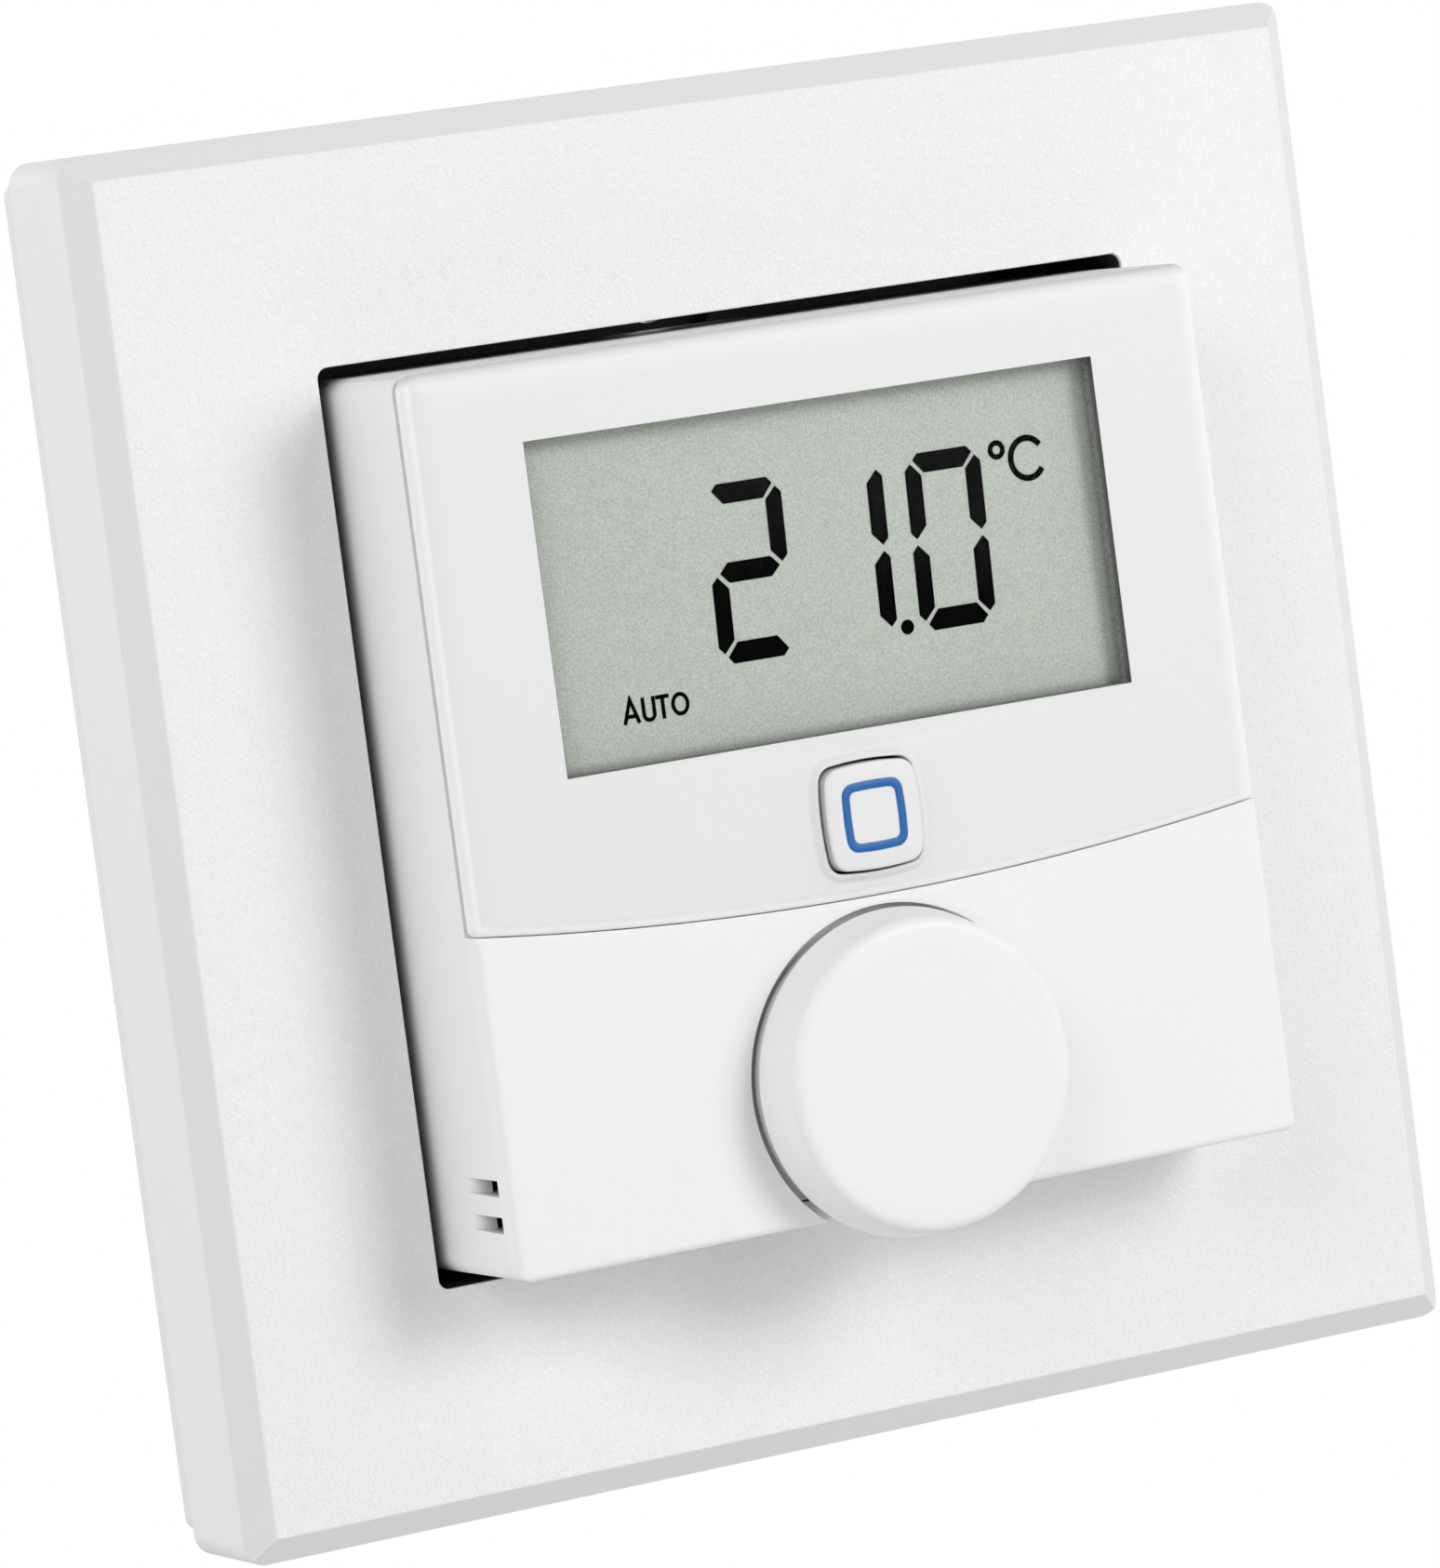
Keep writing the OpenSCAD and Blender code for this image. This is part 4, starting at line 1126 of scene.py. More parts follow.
@dataclass
class Front:
    """The unit's housing, lower panel, and satin display cover over its mask."""

    eased: Eased
    palette: Palette
    # The cover's outline, which ends below in the curved split, and its profile.
    split_rise_mm: float = 1.8
    split_closer_mm: float = 0.1
    split_narrower: float = 0.8  # by what share the sloping margin is narrower along the split
    split_stop: float = 1.1  # how far short of the sides its curve stops, in corner radii
    split_steps: int = 48
    top_corner_mm: float = 1.1
    low_corner_mm: float = 0.5
    low_corner_ease: float = 0.3
    least_corner_mm: float = 0.15
    edge_round_mm: float = 0.42
    rear_edge_mm: float = 0.06
    margin_mm: float = 1.5
    margin_drop_mm: float = 0.14
    margin_steps: int = 4
    wall_mm: float = 0.55
    skin_mm: float = 0.5
    # The raised collar round the button's hole.
    collar_corner_mm: float = 1.62
    collar_gap_mm: float = 0.17
    collar_height_mm: float = 0.3
    collar_steps: int = 10
    flank_mm: float = 0.5
    crown_mm: float = 0.12
    crown_round_mm: float = 0.05
    # The display's window and its clear pane.
    window_shift_mm: float = -0.195
    window_wider_mm: float = 0.075
    window_taller_mm: float = 0.03
    window_corner_mm: float = 0.06
    undercut_mm: float = 0.3
    pane_sunk_mm: float = 0.12
    # The mask behind the cover, with painted shade round its window and in the groove at its rear.
    # how far the painted shade reaches beyond the window's edge
    painted_rim_mm: float = 0.22
    mask_inset_mm: float = 0.65
    mask_mm: float = 0.8
    mask_lip_mm: float = 0.3
    mask_corner_mm: float = 0.05
    pocket_mm: float = 0.79
    groove_mm: float = 0.2
    # Housing and panel: their rounded edges, and where painted shade makes them black or grey.
    shell_mm: float = 1.34
    shell_edge_mm: float = 0.1
    hollow_from_mm: float = 15.1
    shelf_mm: float = 0.4
    shelf_soft_mm: float = 0.2
    vent_z_mm: float = -22.9
    vent_reach_mm: float = 2.6
    vent_depth_mm: float = 0.9
    roof_mm: float = 0.2
    roof_short_mm: float = 0.05

    def __post_init__(self) -> None:
        """Reads the places of the CAD nodes."""
        low, high = limits("display_cover")
        self.width = high.x - low.x
        self.rear, self.face = low.y, high.y
        self.back = self.face - self.skin_mm
        self.top = high.z
        rise = self.split_rise_mm
        self.split_radius = ((self.width / 2) ** 2 + rise ** 2) / (2 * rise)
        self.split_middle = low.z + self.split_radius
        low, high = limits("display_gasket")
        self.window_middle = middle_of(low, high)
        self.window = (high.x - low.x - 2 * GASKET_MM, high.z - low.z - 2 * GASKET_MM)
        low, high = limits("system_button")
        self.button = middle_of(low, high)
        self.hole = high.z - low.z + 2 * self.collar_gap_mm

    def outline(self, inset: float) -> list[Point]:
        """The display cover's outline.

        Args:
            inset: how far it is drawn in from the cover's outer edge.

        Returns:
            Its points, anticlockwise as seen from the room.
        """
        half = self.width / 2 - inset
        top = self.top - inset
        beyond = max(inset - self.edge_round_mm, 0.0)
        radius = self.split_radius + self.split_closer_mm - inset + beyond * self.split_narrower
        low_round = max(self.low_corner_mm - inset * self.low_corner_ease, self.least_corner_mm)
        top_round = max(self.top_corner_mm - inset, self.least_corner_mm)
        low = self.split_middle - math.sqrt(radius ** 2 - half ** 2)
        slope = math.asin(half / radius)
        rising = (math.cos(slope), math.sin(slope))
        falling = (rising[0], -rising[1])
        points = corner_arc((-half, low), (0.0, -1.0), falling, low_round)
        inner = half - low_round * self.split_stop
        for i in range(1, self.split_steps):
            x = -inner + 2 * inner * i / self.split_steps
            points.append((x, self.split_middle - math.sqrt(radius ** 2 - x ** 2)))
        points += corner_arc((half, low), rising, (0.0, 1.0), low_round)
        points += corner_arc((half, top), (0.0, 1.0), (-1.0, 0.0), top_round)
        points += corner_arc((-half, top), (-1.0, 0.0), (0.0, -1.0), top_round)
        return points

    def skin(self) -> None:
        """Builds the satin cover with its rounded edge and sloping margin."""
        draft = Draft()
        drop, edge_round = self.margin_drop_mm, self.edge_round_mm
        profile = [(self.wall_mm, self.back), (self.wall_mm, self.rear),
                   (self.rear_edge_mm, self.rear), (0.0, self.rear + self.rear_edge_mm)]
        profile += [(i, self.face - drop - d) for i, d in round_over(edge_round)]
        for i in range(1, self.margin_steps + 1):
            share = i / self.margin_steps
            profile.append((edge_round + self.margin_mm * share,
                            self.face - drop * (1 - share) ** 2))
        loops = [draft.loop(self.outline(inset), out) for inset, out in profile]
        draft.stack(loops)
        collar = self.collar(draft)
        wider, under = self.window_wider_mm, self.undercut_mm
        edge = draft.loop(self.opening(wider, self.window_taller_mm), self.face)
        deep = draft.loop(self.opening(wider + under, under), self.back)
        draft.cap(loops[-1], [collar[0], edge])
        draft.cap(loops[0], [collar[-1], deep], rear=True)
        draft.bridge(edge, deep)
        finish = replace(COVER_WHITE, half_width_mm=self.width / 2, top_mm=self.top,
                         split_mm=(self.split_radius, self.split_middle))
        seat(draft, "display_skin", self.palette.of(finish), "unit", "clear_cover",
             "display_cover")

    def round_hole(self, wider: float) -> list[Point]:
        """The button hole's outline, drawn out by wider on each side."""
        corner = self.collar_corner_mm - self.flank_mm - self.crown_mm + wider
        return bulged_square(self.hole + 2 * wider, KEY_BULGE_MM, corner, self.button)

    def collar(self, draft: Draft) -> list[list[int]]:
        """Adds the raised collar round the button, which swells softly out of the cover.

        Args:
            draft: the cover that it belongs to.

        Returns:
            Its outlines, from the cover's face over the crown to the cover's back.
        """
        height = self.collar_height_mm
        rings = []
        for i in range(self.collar_steps + 1):
            share = i / self.collar_steps
            swell = share * share * (3 - 2 * share)
            rings.append((self.crown_mm + self.flank_mm * (1 - share), self.face + height * swell))
        rings += [(inset, self.face + height - drop)
                  for inset, drop in reversed(round_over(self.crown_round_mm, 3))]
        rings.append((0.0, self.back))
        loops = [draft.loop(self.round_hole(wider), out) for wider, out in rings]
        draft.stack(loops)
        return loops

    def opening(self, wider: float, taller: float) -> list[Point]:
        """The display window's outline in the cover.

        Args:
            wider: how much further out its left and right edges are.
            taller: the same for its upper and lower edges.

        Returns:
            Its points, anticlockwise as seen from the room.
        """
        width, height = self.window
        centre = (self.window_middle[0] + self.window_shift_mm, self.window_middle[1])
        return rectangle(width + 2 * wider, height + 2 * taller, self.window_corner_mm, 3, centre)

    def pane(self) -> None:
        """Builds the clear pane in the display's window."""
        draft = Draft()
        shape = self.opening(-CLEAR_MM, -CLEAR_MM)
        back = draft.loop(shape, self.back + CLEAR_MM)
        front = draft.loop(shape, self.face - self.pane_sunk_mm)
        draft.bridge(back, front)
        draft.cap(front)
        draft.cap(back, rear=True)
        seat(draft, "display_pane", self.palette.of(PANE), "unit", "clear_cover")

    def mask(self) -> None:
        """Builds the white mask sheet behind the cover, with its window, its gasket's seat and
        the button's hole. Painted shade darkens it round the window and in the groove at its rear."""
        draft = Draft()
        front, rear = self.back, self.back - self.mask_mm
        lip = front - self.mask_lip_mm
        width, height = self.window
        corner, middle = self.mask_corner_mm, self.window_middle
        pit = rectangle(width + 2 * self.pocket_mm, height + 2 * self.pocket_mm, corner, 3, middle)
        hem = [draft.loop(self.outline(self.mask_inset_mm), out) for out in (rear, front)]
        pocket = [draft.loop(pit, out) for out in (lip, rear)]
        window = [draft.loop(rectangle(width, height, corner, 3, middle), out)
                  for out in (front, lip)]
        hole = [draft.loop(self.round_hole(CLEAR_MM), out) for out in (front, rear)]
        for pair in (hem, pocket, window, hole):
            draft.stack(pair)
        draft.cap(hem[1], [window[0], hole[0]])
        draft.cap(hem[0], [pocket[1], hole[1]], rear=True)
        draft.cap(pocket[0], [window[1]], rear=True)
        # painted shade on the window's walls and round its edge
        border = Second(PAINTED_WINDOW_SHADE, 0.0, self.face, width / 2 + self.painted_rim_mm,
                        height / 2 + self.painted_rim_mm, middle)
        # painted shade in the groove under the cover's rear edge
        groove = Second(PAINTED_GROOVE_SHADE, 0.0, self.rear + self.groove_mm, self.width, self.width)
        finish = replace(MASK_WHITE, name="mask_painted_shade", seconds=(groove, border))
        seat(draft, "white_mask_sheet", self.palette.of(finish), "unit", "white_mask",
             "cover_mask")

    def shell(self) -> None:
        """Dresses the housing and the panel, with painted shade that makes them black inside and
        grey in the vents' floors, under the cover's edge and along the housing's roof."""
        low, high = limits("unit_housing")
        _, frame = limits("cover_frame")
        inner, depth = high.x - self.shell_mm, self.vent_depth_mm
        # painted shade: black inside the housing and the panel
        hollow = Second(PAINTED_INSIDE_SHADE, self.hollow_from_mm, high.y - CLEAR_MM, inner, inner)
        # painted shade in the floors of the vents on the housing's left side
        floors = Second(PAINTED_VENT_SHADE, frame.y, high.y + depth, depth, self.vent_reach_mm,
                        (low.x + depth, self.vent_z_mm), depth)
        # painted shade along the housing's roof
        roof = Second(PAINTED_ROOF_SHADE, low.y, high.y - self.roof_short_mm, self.width, self.roof_mm,
                      (0.0, high.z))
        shelf_half = self.width / 2 - self.mask_inset_mm + self.shelf_soft_mm
        # painted shade on the panel's shelf under the cover's edge
        shelf = Second(PAINTED_GROOVE_SHADE, high.y + CLEAR_MM, high.y + self.shelf_mm, shelf_half,
                       self.width, soft_mm=self.shelf_soft_mm)
        housing = replace(HOUSING_WHITE, seconds=(roof, floors, hollow))
        panel = replace(PANEL_WHITE, seconds=(hollow, shelf))
        self.eased.dress("unit_housing", housing, self.shell_edge_mm)
        self.eased.dress("front_panel", panel, self.shell_edge_mm)

    def build(self) -> None:
        """Builds and dresses the front."""
        self.shell()
        self.mask()
        self.skin()
        self.pane()


class Bar(Enum):
    """The bars of a seven-bar digit."""

    TOP = "top"
    MIDDLE = "middle"
    BOTTOM = "bottom"
    HIGH_LEFT = "high left"
    HIGH_RIGHT = "high right"
    LOW_LEFT = "low left"
    LOW_RIGHT = "low right"


DIGITS: dict[str, tuple[Bar, ...]] = {
    "0": (Bar.TOP, Bar.BOTTOM, Bar.HIGH_LEFT, Bar.HIGH_RIGHT, Bar.LOW_LEFT, Bar.LOW_RIGHT),
    "1": (Bar.HIGH_RIGHT, Bar.LOW_RIGHT),
    "2": (Bar.TOP, Bar.MIDDLE, Bar.BOTTOM, Bar.HIGH_RIGHT, Bar.LOW_LEFT),
}


@dataclass
class Readout:
    """What the display shows: three digits, a point, the degree sign and the mode word."""

    palette: Palette
    # The seven-bar digits.
    digit_width_mm: float = 5.4
    digit_height_mm: float = 11.0
    waist_rise_mm: float = 0.05
    waist_gap_mm: float = 0.18
    bar_mm: float = 1.14
    cross_bar_mm: float = 1.25
    bar_slope_mm: float = 0.78
    bar_cut_mm: float = 0.42
    bar_tip_mm: float = 0.4
    bar_ends_mm: Point = (0.6, 0.65)  # how far in upright bars end, from the top and the bottom
    tips_in_mm: Point = (0.6, 0.57)  # how far in lying bars' tips are, left and right
    inner_in_mm: Point = (1.33, 1.3)  # the same for the ends of their inner edges
    outer_in_mm: Point = (0.95, 0.95)  # and of their outer edges
    waist_tips_in_mm: Point = (0.62, 0.6)
    waist_low_in_mm: Point = (1.22, 1.22)
    waist_high_in_mm: Point = (1.2, 1.2)
    slant: float = 0.026
    base_z_mm: float = 7.2
    digit_lefts_mm: tuple[float, ...] = (-7.95, -0.84, 6.17)
    reading: str = "210"
    # The point, the degree sign and the letter C.
    dot_at_mm: Point = (5.25, 7.68)
    dot_radius_mm: float = 0.46
    degree_at_mm: Point = (13.05, 17.64)
    degree_radius_mm: float = 0.44
    degree_line_mm: float = 0.34
    unit_at_mm: Point = (15.16, 16.86)
    unit_reach_mm: Point = (1.18, 1.25)
    unit_mouth_deg: float = 35.0
    unit_line_mm: float = 0.4
    # The mode word: the letters' middles and half widths, and its A's bar, U's bowl and O.
    word_low_mm: float = 4.6
    word_high_mm: float = 6.08
    word_line_mm: float = 0.25
    letter_middles_mm: tuple[float, ...] = (-14.43, -13.2, -12.22, -11.03)
    letter_halves_mm: tuple[float, ...] = (0.5, 0.36, 0.46, 0.5)
    a_bar_half_mm: float = 0.31
    a_bar_rise_mm: float = 0.45
    u_rise_mm: float = 0.43
    o_half_height_mm: float = 0.6
    # What all of these shapes share.
    ink_mm: float = 0.02
    mitre_least: float = 0.35
    round_steps: int = 32

    def __post_init__(self) -> None:
        """Reads where the display's film is."""
        _, high = limits("lcd_polariser")
        self.out = high.y + self.ink_mm

    def lying(self, tips: Point, low: Point, high: Point, heights: Sequence[float],
              ) -> list[Point]:
        """A lying bar's outline in the digit's own upright frame.

        Args:
            tips: how far in its left and right tips are.
            low: the same for the ends of its lower edge.
            high: the same for the ends of its upper edge.
            heights: how high its tips, its lower edge and its upper edge are.

        Returns:
            Its six corners, anticlockwise.
        """
        w = self.digit_width_mm
        tip, bottom, top = heights
        return [(tips[0], tip), (low[0], bottom), (w - low[1], bottom), (w - tips[1], tip),
                (w - high[1], top), (high[0], top)]

    def upright(self, low: float, high: float) -> list[Point]:
        """A left upright bar's six corners, anticlockwise, between its tips' heights."""
        cut, slope, tip, v = self.bar_cut_mm, self.bar_slope_mm, self.bar_tip_mm, self.bar_mm
        return [(tip, low), (v, low + slope), (v, high - slope), (tip, high),
                (0.0, high - cut), (0.0, low + cut)]

    def bar(self, which: Bar) -> list[Point]:
        """One bar's outline in the digit's own upright frame.

        Args:
            which: the bar.

        Returns:
            Its six corners, anticlockwise.
        """
        h, c = self.digit_height_mm, self.cross_bar_mm
        mid = h / 2 + self.waist_rise_mm
        tips, inner, outer = self.tips_in_mm, self.inner_in_mm, self.outer_in_mm
        if which is Bar.TOP:
            return self.lying(tips, inner, outer, (h - self.bar_tip_mm, h - c, h))
        if which is Bar.BOTTOM:
            return self.lying(tips, outer, inner, (self.bar_cut_mm, 0.0, c + self.waist_rise_mm))
        if which is Bar.MIDDLE:
            return self.lying(self.waist_tips_in_mm, self.waist_low_in_mm, self.waist_high_in_mm,
                              (mid, mid - c / 2, mid + c / 2))
        if which in (Bar.HIGH_LEFT, Bar.HIGH_RIGHT):
            left = self.upright(mid + self.waist_gap_mm, h - self.bar_ends_mm[0])
        else:
            left = self.upright(self.bar_ends_mm[1], mid - self.waist_gap_mm)
        if which in (Bar.HIGH_LEFT, Bar.LOW_LEFT):
            return left
        return [(self.digit_width_mm - x, z) for x, z in reversed(left)]

    def stroke(self, draft: Draft, path: Sequence[Point], width: float,
               closed: bool = False) -> None:
        """Draws a line of even width.

        Args:
            draft: what it is added to.
            path: the line's points.
            width: its width.
            closed: whether its end joins its start.
        """
        count = len(path)
        left, right = [], []
        for i, (x, z) in enumerate(path):
            ahead = path[(i + 1) % count] if closed or i < count - 1 else path[i]
            behind = path[i - 1] if closed or i > 0 else path[i]
            first = Vector((x - behind[0], z - behind[1]))
            second = Vector((ahead[0] - x, ahead[1] - z))
            first = first.normalized() if first.length > SAME_MM else second.normalized()
            second = second.normalized() if second.length > SAME_MM else first
            side = Vector((-(first + second).y, (first + second).x)).normalized()
            reach = width / 2 / max(self.mitre_least, side.dot(Vector((-first.y, first.x))))
            left.append((x + side.x * reach, z + side.y * reach))
            right.append((x - side.x * reach, z - side.y * reach))
        a, b = draft.loop(left, self.out), draft.loop(right, self.out)
        for i in range(count if closed else count - 1):
            j = (i + 1) % count
            draft.faces.append((b[i], b[j], a[j], a[i]))

    def digits(self) -> None:
        """Builds the digits and their point."""
        draft = Draft()
        shapes = []
        for numeral, left in zip(self.reading, self.digit_lefts_mm):
            for which in DIGITS[numeral]:
                shapes.append([(left + x + self.slant * z, self.base_z_mm + z)
                               for x, z in self.bar(which)])
        radius = self.dot_radius_mm
        shapes.append(oval(self.dot_at_mm, (radius, radius), self.round_steps))
        for shape in shapes:
            draft.faces.append(tuple(draft.loop(shape, self.out)))
        seat(draft, "display_digits", self.palette.of(INK), "unit", "polariser")

    def signs(self) -> None:
        """Builds the degree sign, the letter C and the mode word AUTO."""
        draft = Draft()
        radius, mouth = self.degree_radius_mm, self.unit_mouth_deg
        degree = oval(self.degree_at_mm, (radius, radius), self.round_steps)
        self.stroke(draft, degree, self.degree_line_mm, True)
        unit = arc(self.unit_at_mm, self.unit_reach_mm, mouth, 360 - mouth, self.round_steps)
        self.stroke(draft, unit, self.unit_line_mm)
        low, high = self.word_low_mm, self.word_high_mm
        beam = high - self.word_line_mm / 2
        a, u, t, o = self.letter_middles_mm
        half_a, half_u, half_t, half_o = self.letter_halves_mm
        cross, rise = self.a_bar_half_mm, low + self.a_bar_rise_mm
        bowl = arc((u, low + self.u_rise_mm), (half_u, half_u), 180, 360, 12)
        for path in (
            [(a - half_a, low), (a, high), (a + half_a, low)],
            [(a - cross, rise), (a + cross, rise)],
            [(u - half_u, high), *bowl, (u + half_u, high)],
            [(t - half_t, beam), (t + half_t, beam)],
            [(t, beam), (t, low)],
        ):
            self.stroke(draft, path, self.word_line_mm)
        ring = oval((o, (low + high) / 2), (half_o, self.o_half_height_mm), self.round_steps)
        self.stroke(draft, ring, self.word_line_mm, True)
        seat(draft, "display_signs", self.palette.of(INK), "unit", "polariser")

    def build(self) -> None:
        """Builds everything that the display shows."""
        self.digits()
        self.signs()


@dataclass
class Wheel:
    """The control wheel, a hollow tapered cup on the encoder's shaft."""

    palette: Palette
    eased: Eased
    skirt_mm: float = 10.2
    skirt_edge_mm: float = 0.08
    skirt_off_mm: float = 0.5
    front_mm: float = 9.75
    neck_mm: float = 9.9
    neck_edge_mm: float = 0.1
    edge_mm: float = 0.8
    lead_mm: float = 0.4
    wall_mm: float = 1.4
    hub_mm: float = 5.0
    bore_mm: float = 3.05
    bore_short_mm: float = 0.4
    face_rings: tuple[float, ...] = (0.9, 0.6, 0.3)
    shaft_edge_mm: float = 0.1
    sides: int = 192

    def build(self) -> None:
        """Builds the wheel and dresses its shaft and pin."""
        low, high = limits("control_wheel")
        _, panel = limits("front_panel")
        centre, rear, face = middle_of(low, high), low.y, high.y
        skirt_out = panel.y + self.skirt_off_mm
        neck, skirt, front = self.neck_mm, self.skirt_mm, self.front_mm
        inner, roof = neck - self.wall_mm, face - self.wall_mm
        profile = [(self.bore_mm, roof - self.bore_short_mm), (self.bore_mm, rear),
                   (self.hub_mm, rear), (self.hub_mm, roof), (inner, roof), (inner, rear),
                   (neck - self.neck_edge_mm, rear), (neck, rear + self.neck_edge_mm),
                   (neck, skirt_out), (skirt - self.skirt_edge_mm, skirt_out),
                   (skirt, skirt_out + self.skirt_edge_mm)]
        shoulder = face - self.edge_mm
        lean = (skirt - front) / (shoulder - skirt_out)
        profile.append((front + lean * self.lead_mm, shoulder - self.lead_mm))
        profile += [(front - i, face - d) for i, d in round_over(self.edge_mm, 10)]
        profile += [((front - self.edge_mm) * share, face) for share in self.face_rings]
        draft = Draft()
        loops = [draft.loop(oval(centre, (radius, radius), self.sides), out)
                 for radius, out in profile]
        draft.stack(loops)
        draft.faces += [tuple(loops[-1]), tuple(reversed(loops[0]))]
        seat(draft, "turning_wheel", self.palette.of(WHEEL_WHITE), "wheel", "wheel_plastic",
             "control_wheel")
        self.eased.dress("encoder_shaft", SHAFT, self.shaft_edge_mm)
        self.eased.dress("encoder_push_pin", BRASS)


@dataclass
class Button:
    """The system button: a bulged cap with a light ring let into its face."""

    palette: Palette
    eased: Eased
    corner_mm: float = 1.1
    edge_mm: float = 0.22
    flange_mm: float = 0.8
    flange_less_mm: float = 1.4
    flange_corner_mm: float = 0.2
    skirt_drop_mm: float = 0.14
    ring_mm: float = 4.34
    ring_corner_mm: float = 0.8
    ring_inner_corner_mm: float = 0.42
    ring_gap_mm: float = 0.005
    ring_crown_mm: float = 0.02
    ring_steps: int = 6
    line_mm: float = 0.53
    groove_mm: float = 0.05
    lip_mm: float = 0.03
    lip_corner_mm: float = 0.02

    def __post_init__(self) -> None:
        """Reads where the button is."""
        low, high = limits("system_button")
        self.rear, self.face = low.y, high.y
        self.centre = middle_of(low, high)
        self.width = high.z - low.z
        self.wings = high.x - low.x

    def shape(self, width: float, corner: float) -> list[Point]:
        """A bulged square about the button's middle."""
        return bulged_square(width, KEY_BULGE_MM, corner, self.centre)

    def cap(self) -> None:
        """Builds the cap, with its flange behind and the ring's groove in its face."""
        draft = Draft()
        foot = rectangle(self.wings, self.width - self.flange_less_mm, self.flange_corner_mm,
                         centre=self.centre)
        flange = [draft.loop(foot, out) for out in (self.rear, self.rear + self.flange_mm)]
        draft.stack(flange)
        draft.cap(flange[0], rear=True)
        draft.cap(flange[1])
        sides = [draft.loop(self.shape(self.width, self.corner_mm), self.rear + CLEAR_MM)]
        draft.cap(sides[0], rear=True)
        for inset, drop in round_over(self.edge_mm, 6):
            shape = self.shape(self.width - 2 * inset, self.corner_mm - inset / 2)
            sides.append(draft.loop(shape, self.face - drop))
        draft.stack(sides)
        outer, inner = self.ring_mm / 2, self.ring_mm / 2 - self.line_mm
        lip, lip_corner, deep = self.lip_mm, self.lip_corner_mm, self.face - self.groove_mm
        wide, tight = self.ring_corner_mm, self.ring_inner_corner_mm
        groove = [
            draft.loop(self.shape(2 * reach, corner), out)
            for reach, corner, out in (
                (outer + lip, wide + lip_corner, self.face), (outer, wide, deep),
                (inner, tight, deep), (inner - lip, tight - lip_corner, self.face),
            )
        ]
        draft.cap(sides[-1], [groove[0]])
        draft.stack(groove)
        draft.cap(groove[-1])
        reach = self.wings / 2 + self.edge_mm
        skirt = Second(SKIRT_GREY, 0.0, self.face - self.skirt_drop_mm, reach, reach, self.centre)
        finish = replace(CAP_WHITE, seconds=(skirt,))
        seat(draft, "button_cap", self.palette.of(finish), "button", "button_plastic",
             "system_button")

    def light(self) -> None:
        """Builds the blue ring, flush in the cap with a slightly crowned face."""
        draft = Draft()
        outer = self.ring_mm / 2 - self.ring_gap_mm
        inner = outer - self.line_mm + 2 * self.ring_gap_mm
        wide, tight = self.ring_corner_mm, self.ring_inner_corner_mm
        loops = []
        for i in range(self.ring_steps + 1):
            share = i / self.ring_steps
            shape = self.shape(2 * (outer + (inner - outer) * share), wide + (tight - wide) * share)
            drop = self.ring_crown_mm * (1 - math.sin(math.pi * share))
            loops.append(draft.loop(shape, self.face - drop))
        draft.stack(loops)
        seat(draft, "blue_ring", self.palette.of(RING_BLUE), "button", "ring_plastic",
             "light_ring")

    def build(self) -> None:
        """Builds the cap and the ring, and dresses the plunger behind them."""
        self.cap()
        self.light()
        self.eased.dress("switch_plunger", PLUNGER_BLACK)


@dataclass
class Insides:
    """Everything inside the housing: display stack, electronics, power and screws."""

    eased: Eased

    def build(self) -> None:
        """Dresses each piece. The two cells lie head to tail."""
        upper, lower = limits("battery_upper"), limits("battery_lower")
        low, high = limits("display_gasket")
        finishes: dict[str, Finish] = {
            "battery_upper": BatterySleeve("cell_up", upper[0].x, upper[1].x, CELL_DARK, CELL_WARM),
            "battery_lower": BatterySleeve("cell_low", lower[1].x, lower[0].x, CELL_DARK,
                                           CELL_WARM),
            "lcd_polariser": replace(FILM, right_mm=high.x - GASKET_MM, low_mm=low.z + GASKET_MM),
            "display_gasket": FOAM, "lcd_glass": GLASS, "lcd_reflector": REFLECTOR,
            "lcd_holder": INNER_WHITE, "zebra_strip": ZEBRA, "circuit_board": BOARD,
            "controller_chip": CHIP_BLACK, "radio_module": SHIELD, "antenna": GILT,
            "quartz_crystal": CAN, "capacitors": CAPACITOR, "humidity_sensor": SENSOR_WHITE,
            "status_leds": LENS, "button_switch": SWITCH, "encoder_body": ENCODER,
            "battery_terminals": NICKEL, "bridge_plate": NICKEL, "contact_springs": NICKEL,
            "case_screws": SCREW,
        }
        for name, finish in finishes.items():
            self.eased.dress(name, finish)


# ---- Studio ----


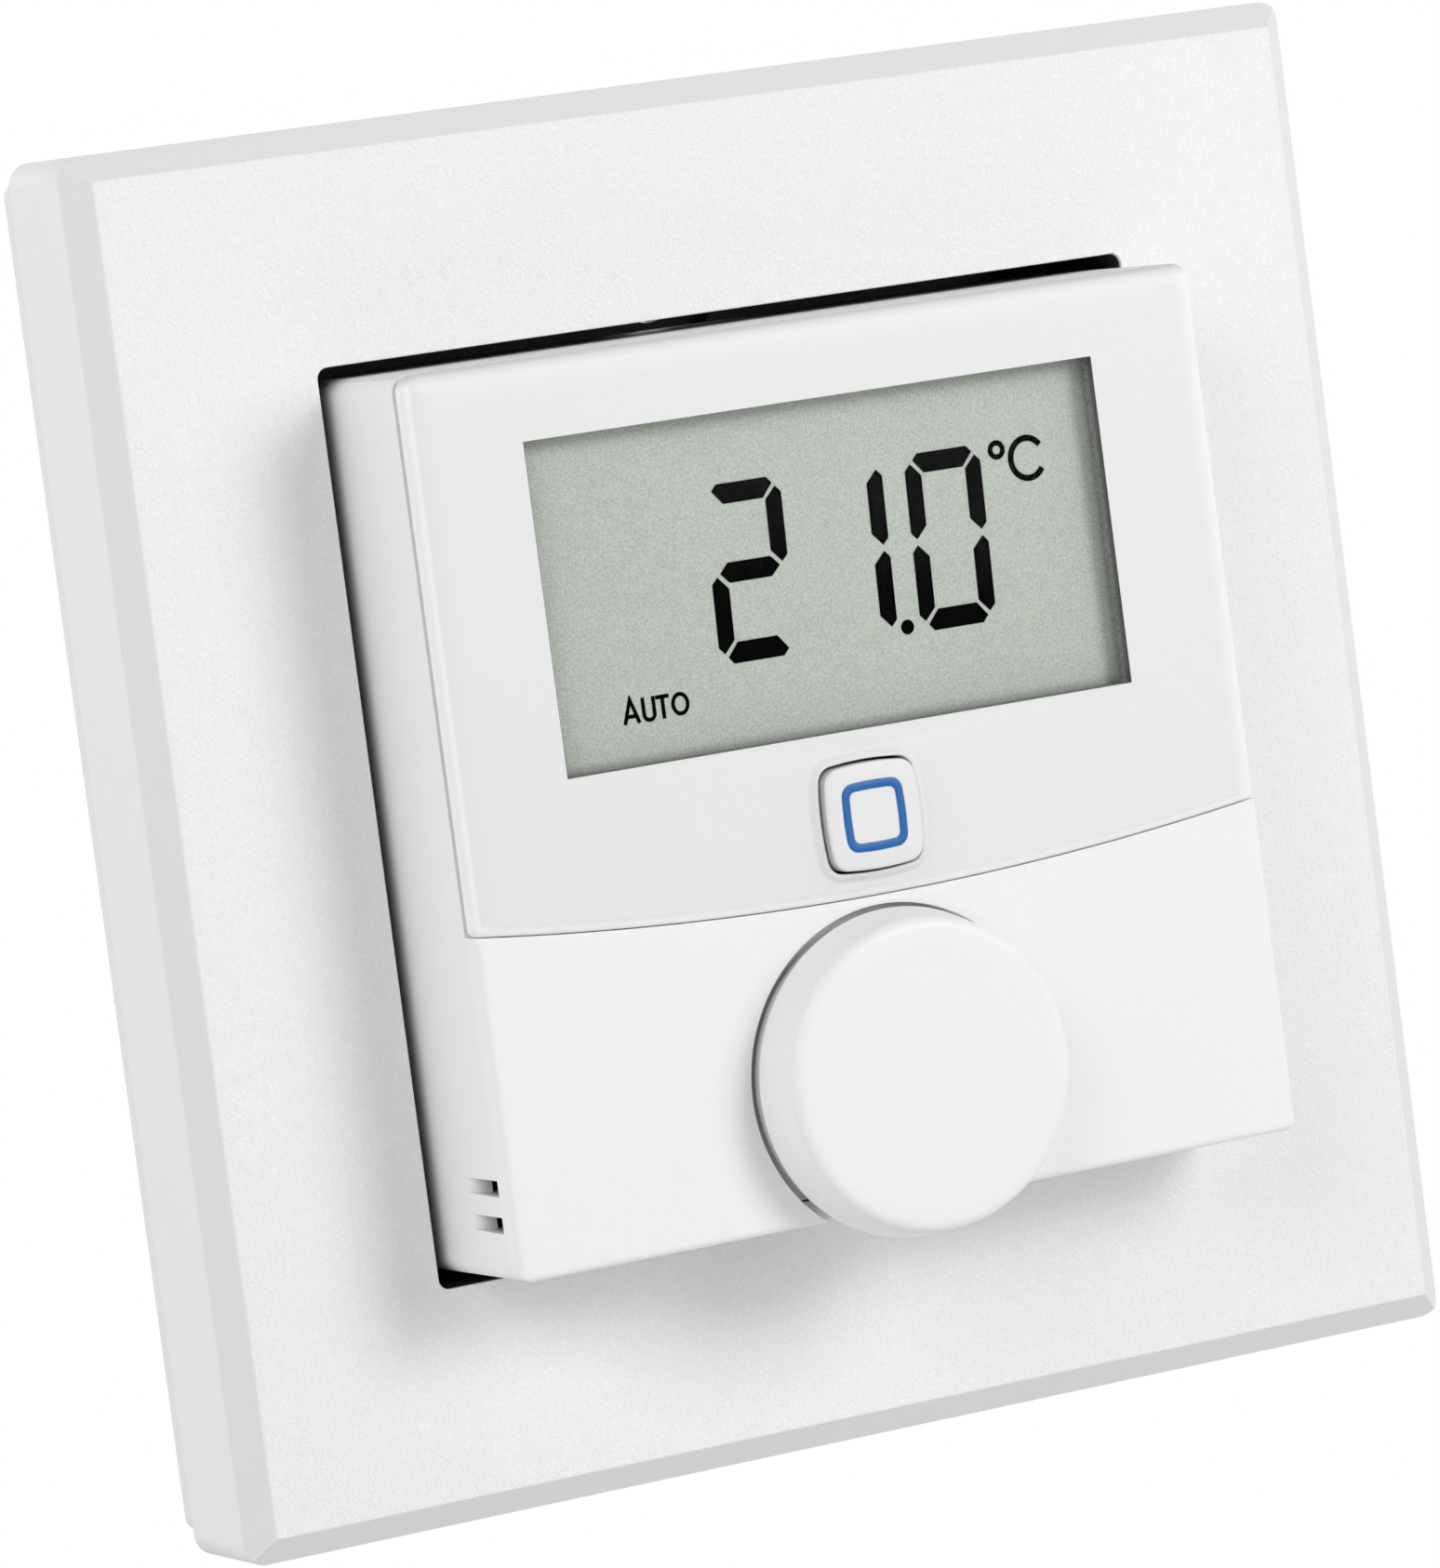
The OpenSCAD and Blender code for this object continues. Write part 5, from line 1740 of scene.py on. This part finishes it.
@dataclass
class Studio:
    """Camera, light, floor and backdrop."""

    camera_mm: tuple[float, float, float] = (-244.645, -481.321, 42.490)
    turn_deg: float = 27.0885
    tilt_deg: float = -4.6858
    roll_deg: float = -7.468
    lens_mm: float = 195.286
    clip_m: Point = (0.01, 20.0)
    # The world's strength from left and right, front and back, below and above.
    sky: tuple[Point, ...] = ((1.51, 1.14), (0.0, 1.52), (0.2, 0.21))
    # Each lamp's name, place in metres, width in metres and power in watts.
    lamps: tuple[tuple[str, tuple[float, float, float], float, float], ...] = (
        ("key_lamp", (0.40, -0.80, 0.40), 0.40, 2.71),
        ("right_lamp", (0.30, -0.50, 0.12), 0.30, 0.71),
        ("left_lamp", (-0.40, -0.40, 0.30), 0.30, 0.65),
    )
    floor_half_m: float = 3.0
    floor_down_m: float = 0.4
    floor_cloud_mm: float = 400.0

    def camera(self) -> None:
        """Creates the camera."""
        data = bpy.data.cameras.new("camera")
        data.lens = self.lens_mm
        data.clip_start, data.clip_end = self.clip_m
        camera = bpy.data.objects.new("camera", data)
        turn = Matrix.Rotation(math.radians(-self.turn_deg), 4, "Z")
        tilt = Matrix.Rotation(math.radians(90 + self.tilt_deg), 4, "X")
        roll = Matrix.Rotation(math.radians(self.roll_deg), 4, "Z")
        place = Matrix.Translation(Vector(self.camera_mm) * MM)
        camera.matrix_world = place @ turn @ tilt @ roll
        bpy.context.scene.collection.objects.link(camera)
        bpy.context.scene.camera = camera

    def world(self) -> None:
        """Lights from left and right, front and back, below and above, each as strong as sky says.

        The camera sees plain white where it looks past the object.
        """
        world = bpy.data.worlds.new("studio")
        bpy.context.scene.world = world
        sheet = Nodes(world)
        way = sheet.node("ShaderNodeTexCoord").outputs["Generated"]
        strength: Shade | float = 0.0
        for part, (low, high) in zip(sheet.parts(way), self.sky):
            strength = strength + part * part * (low + part.above(0.0) * (high - low))
        even, white = (
            sheet.node("ShaderNodeBackground", None, {"Color": (1.0, 1.0, 1.0), "Strength": level})
            for level in (strength, 1.0)
        )
        rays = sheet.node("ShaderNodeLightPath").outputs
        seen = Shade(sheet, rays["Is Camera Ray"]).most(Shade(sheet, rays["Is Transmission Ray"]))
        mix = sheet.node("ShaderNodeMixShader", None, {0: seen, 1: even, 2: white})
        sheet.node("ShaderNodeOutputWorld", None, {"Surface": mix})

    def lights(self) -> None:
        """Creates the lamps, each aimed at the object."""
        for name, place, size, power in self.lamps:
            data = bpy.data.lights.new(name, "AREA")
            data.shape = "DISK"
            data.size = size
            data.energy = power
            lamp = bpy.data.objects.new(name, data)
            lamp.location = place
            lamp.rotation_mode = "QUATERNION"
            lamp.rotation_quaternion = Vector(place).to_track_quat("Z", "Y")
            bpy.context.scene.collection.objects.link(lamp)

    def floor(self) -> None:
        """Lays a plain pale floor well below the part. The camera sees it as plain white."""
        sheet = Sheet("floor_pale")
        cloud = sheet.noise(self.floor_cloud_mm)
        sheet.dress(Base_Color=sheet.blend(cloud, (0.80, 0.80, 0.80), (0.82, 0.82, 0.82)),
                    Roughness=0.8)
        path = sheet.node("ShaderNodeLightPath")
        glow = sheet.node("ShaderNodeEmission", None, {"Color": (1.0, 1.0, 1.0)})
        mix = sheet.node("ShaderNodeMixShader", None, {
            0: path.outputs["Is Camera Ray"], 1: sheet.shader, 2: glow})
        sheet.feed(sheet.output.inputs["Surface"], mix)
        draft = Draft()
        half = self.floor_half_m
        draft.points = [Vector((x * half, y * half, -self.floor_down_m))
                        for x, y in ((-1, -1), (1, -1), (1, 1), (-1, 1))]
        draft.faces.append((0, 1, 2, 3))
        draft.piece("floor", sheet.material)

    def build(self) -> None:
        """Builds the studio."""
        self.camera()
        self.world()
        self.lights()
        self.floor()
        bpy.context.scene.view_settings.view_transform = "Standard"


def main() -> None:
    """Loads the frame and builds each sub-assembly."""
    logging.basicConfig(level=logging.INFO, format="%(message)s")
    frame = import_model()
    palette = Palette()
    eased = Eased(palette, frame["nodes"])
    makers: dict[str, Callable[[], None]] = {
        "studio": Studio().build,
        "wall set": WallSet(eased).build,
        "front": Front(eased, palette).build,
        "readout": Readout(palette).build,
        "wheel": Wheel(palette, eased).build,
        "button": Button(palette, eased).build,
        "insides": Insides(eased).build,
    }
    for name, make in makers.items():
        make()
        LOG.info("%s done", name)


if __name__ == "__main__":
    main()
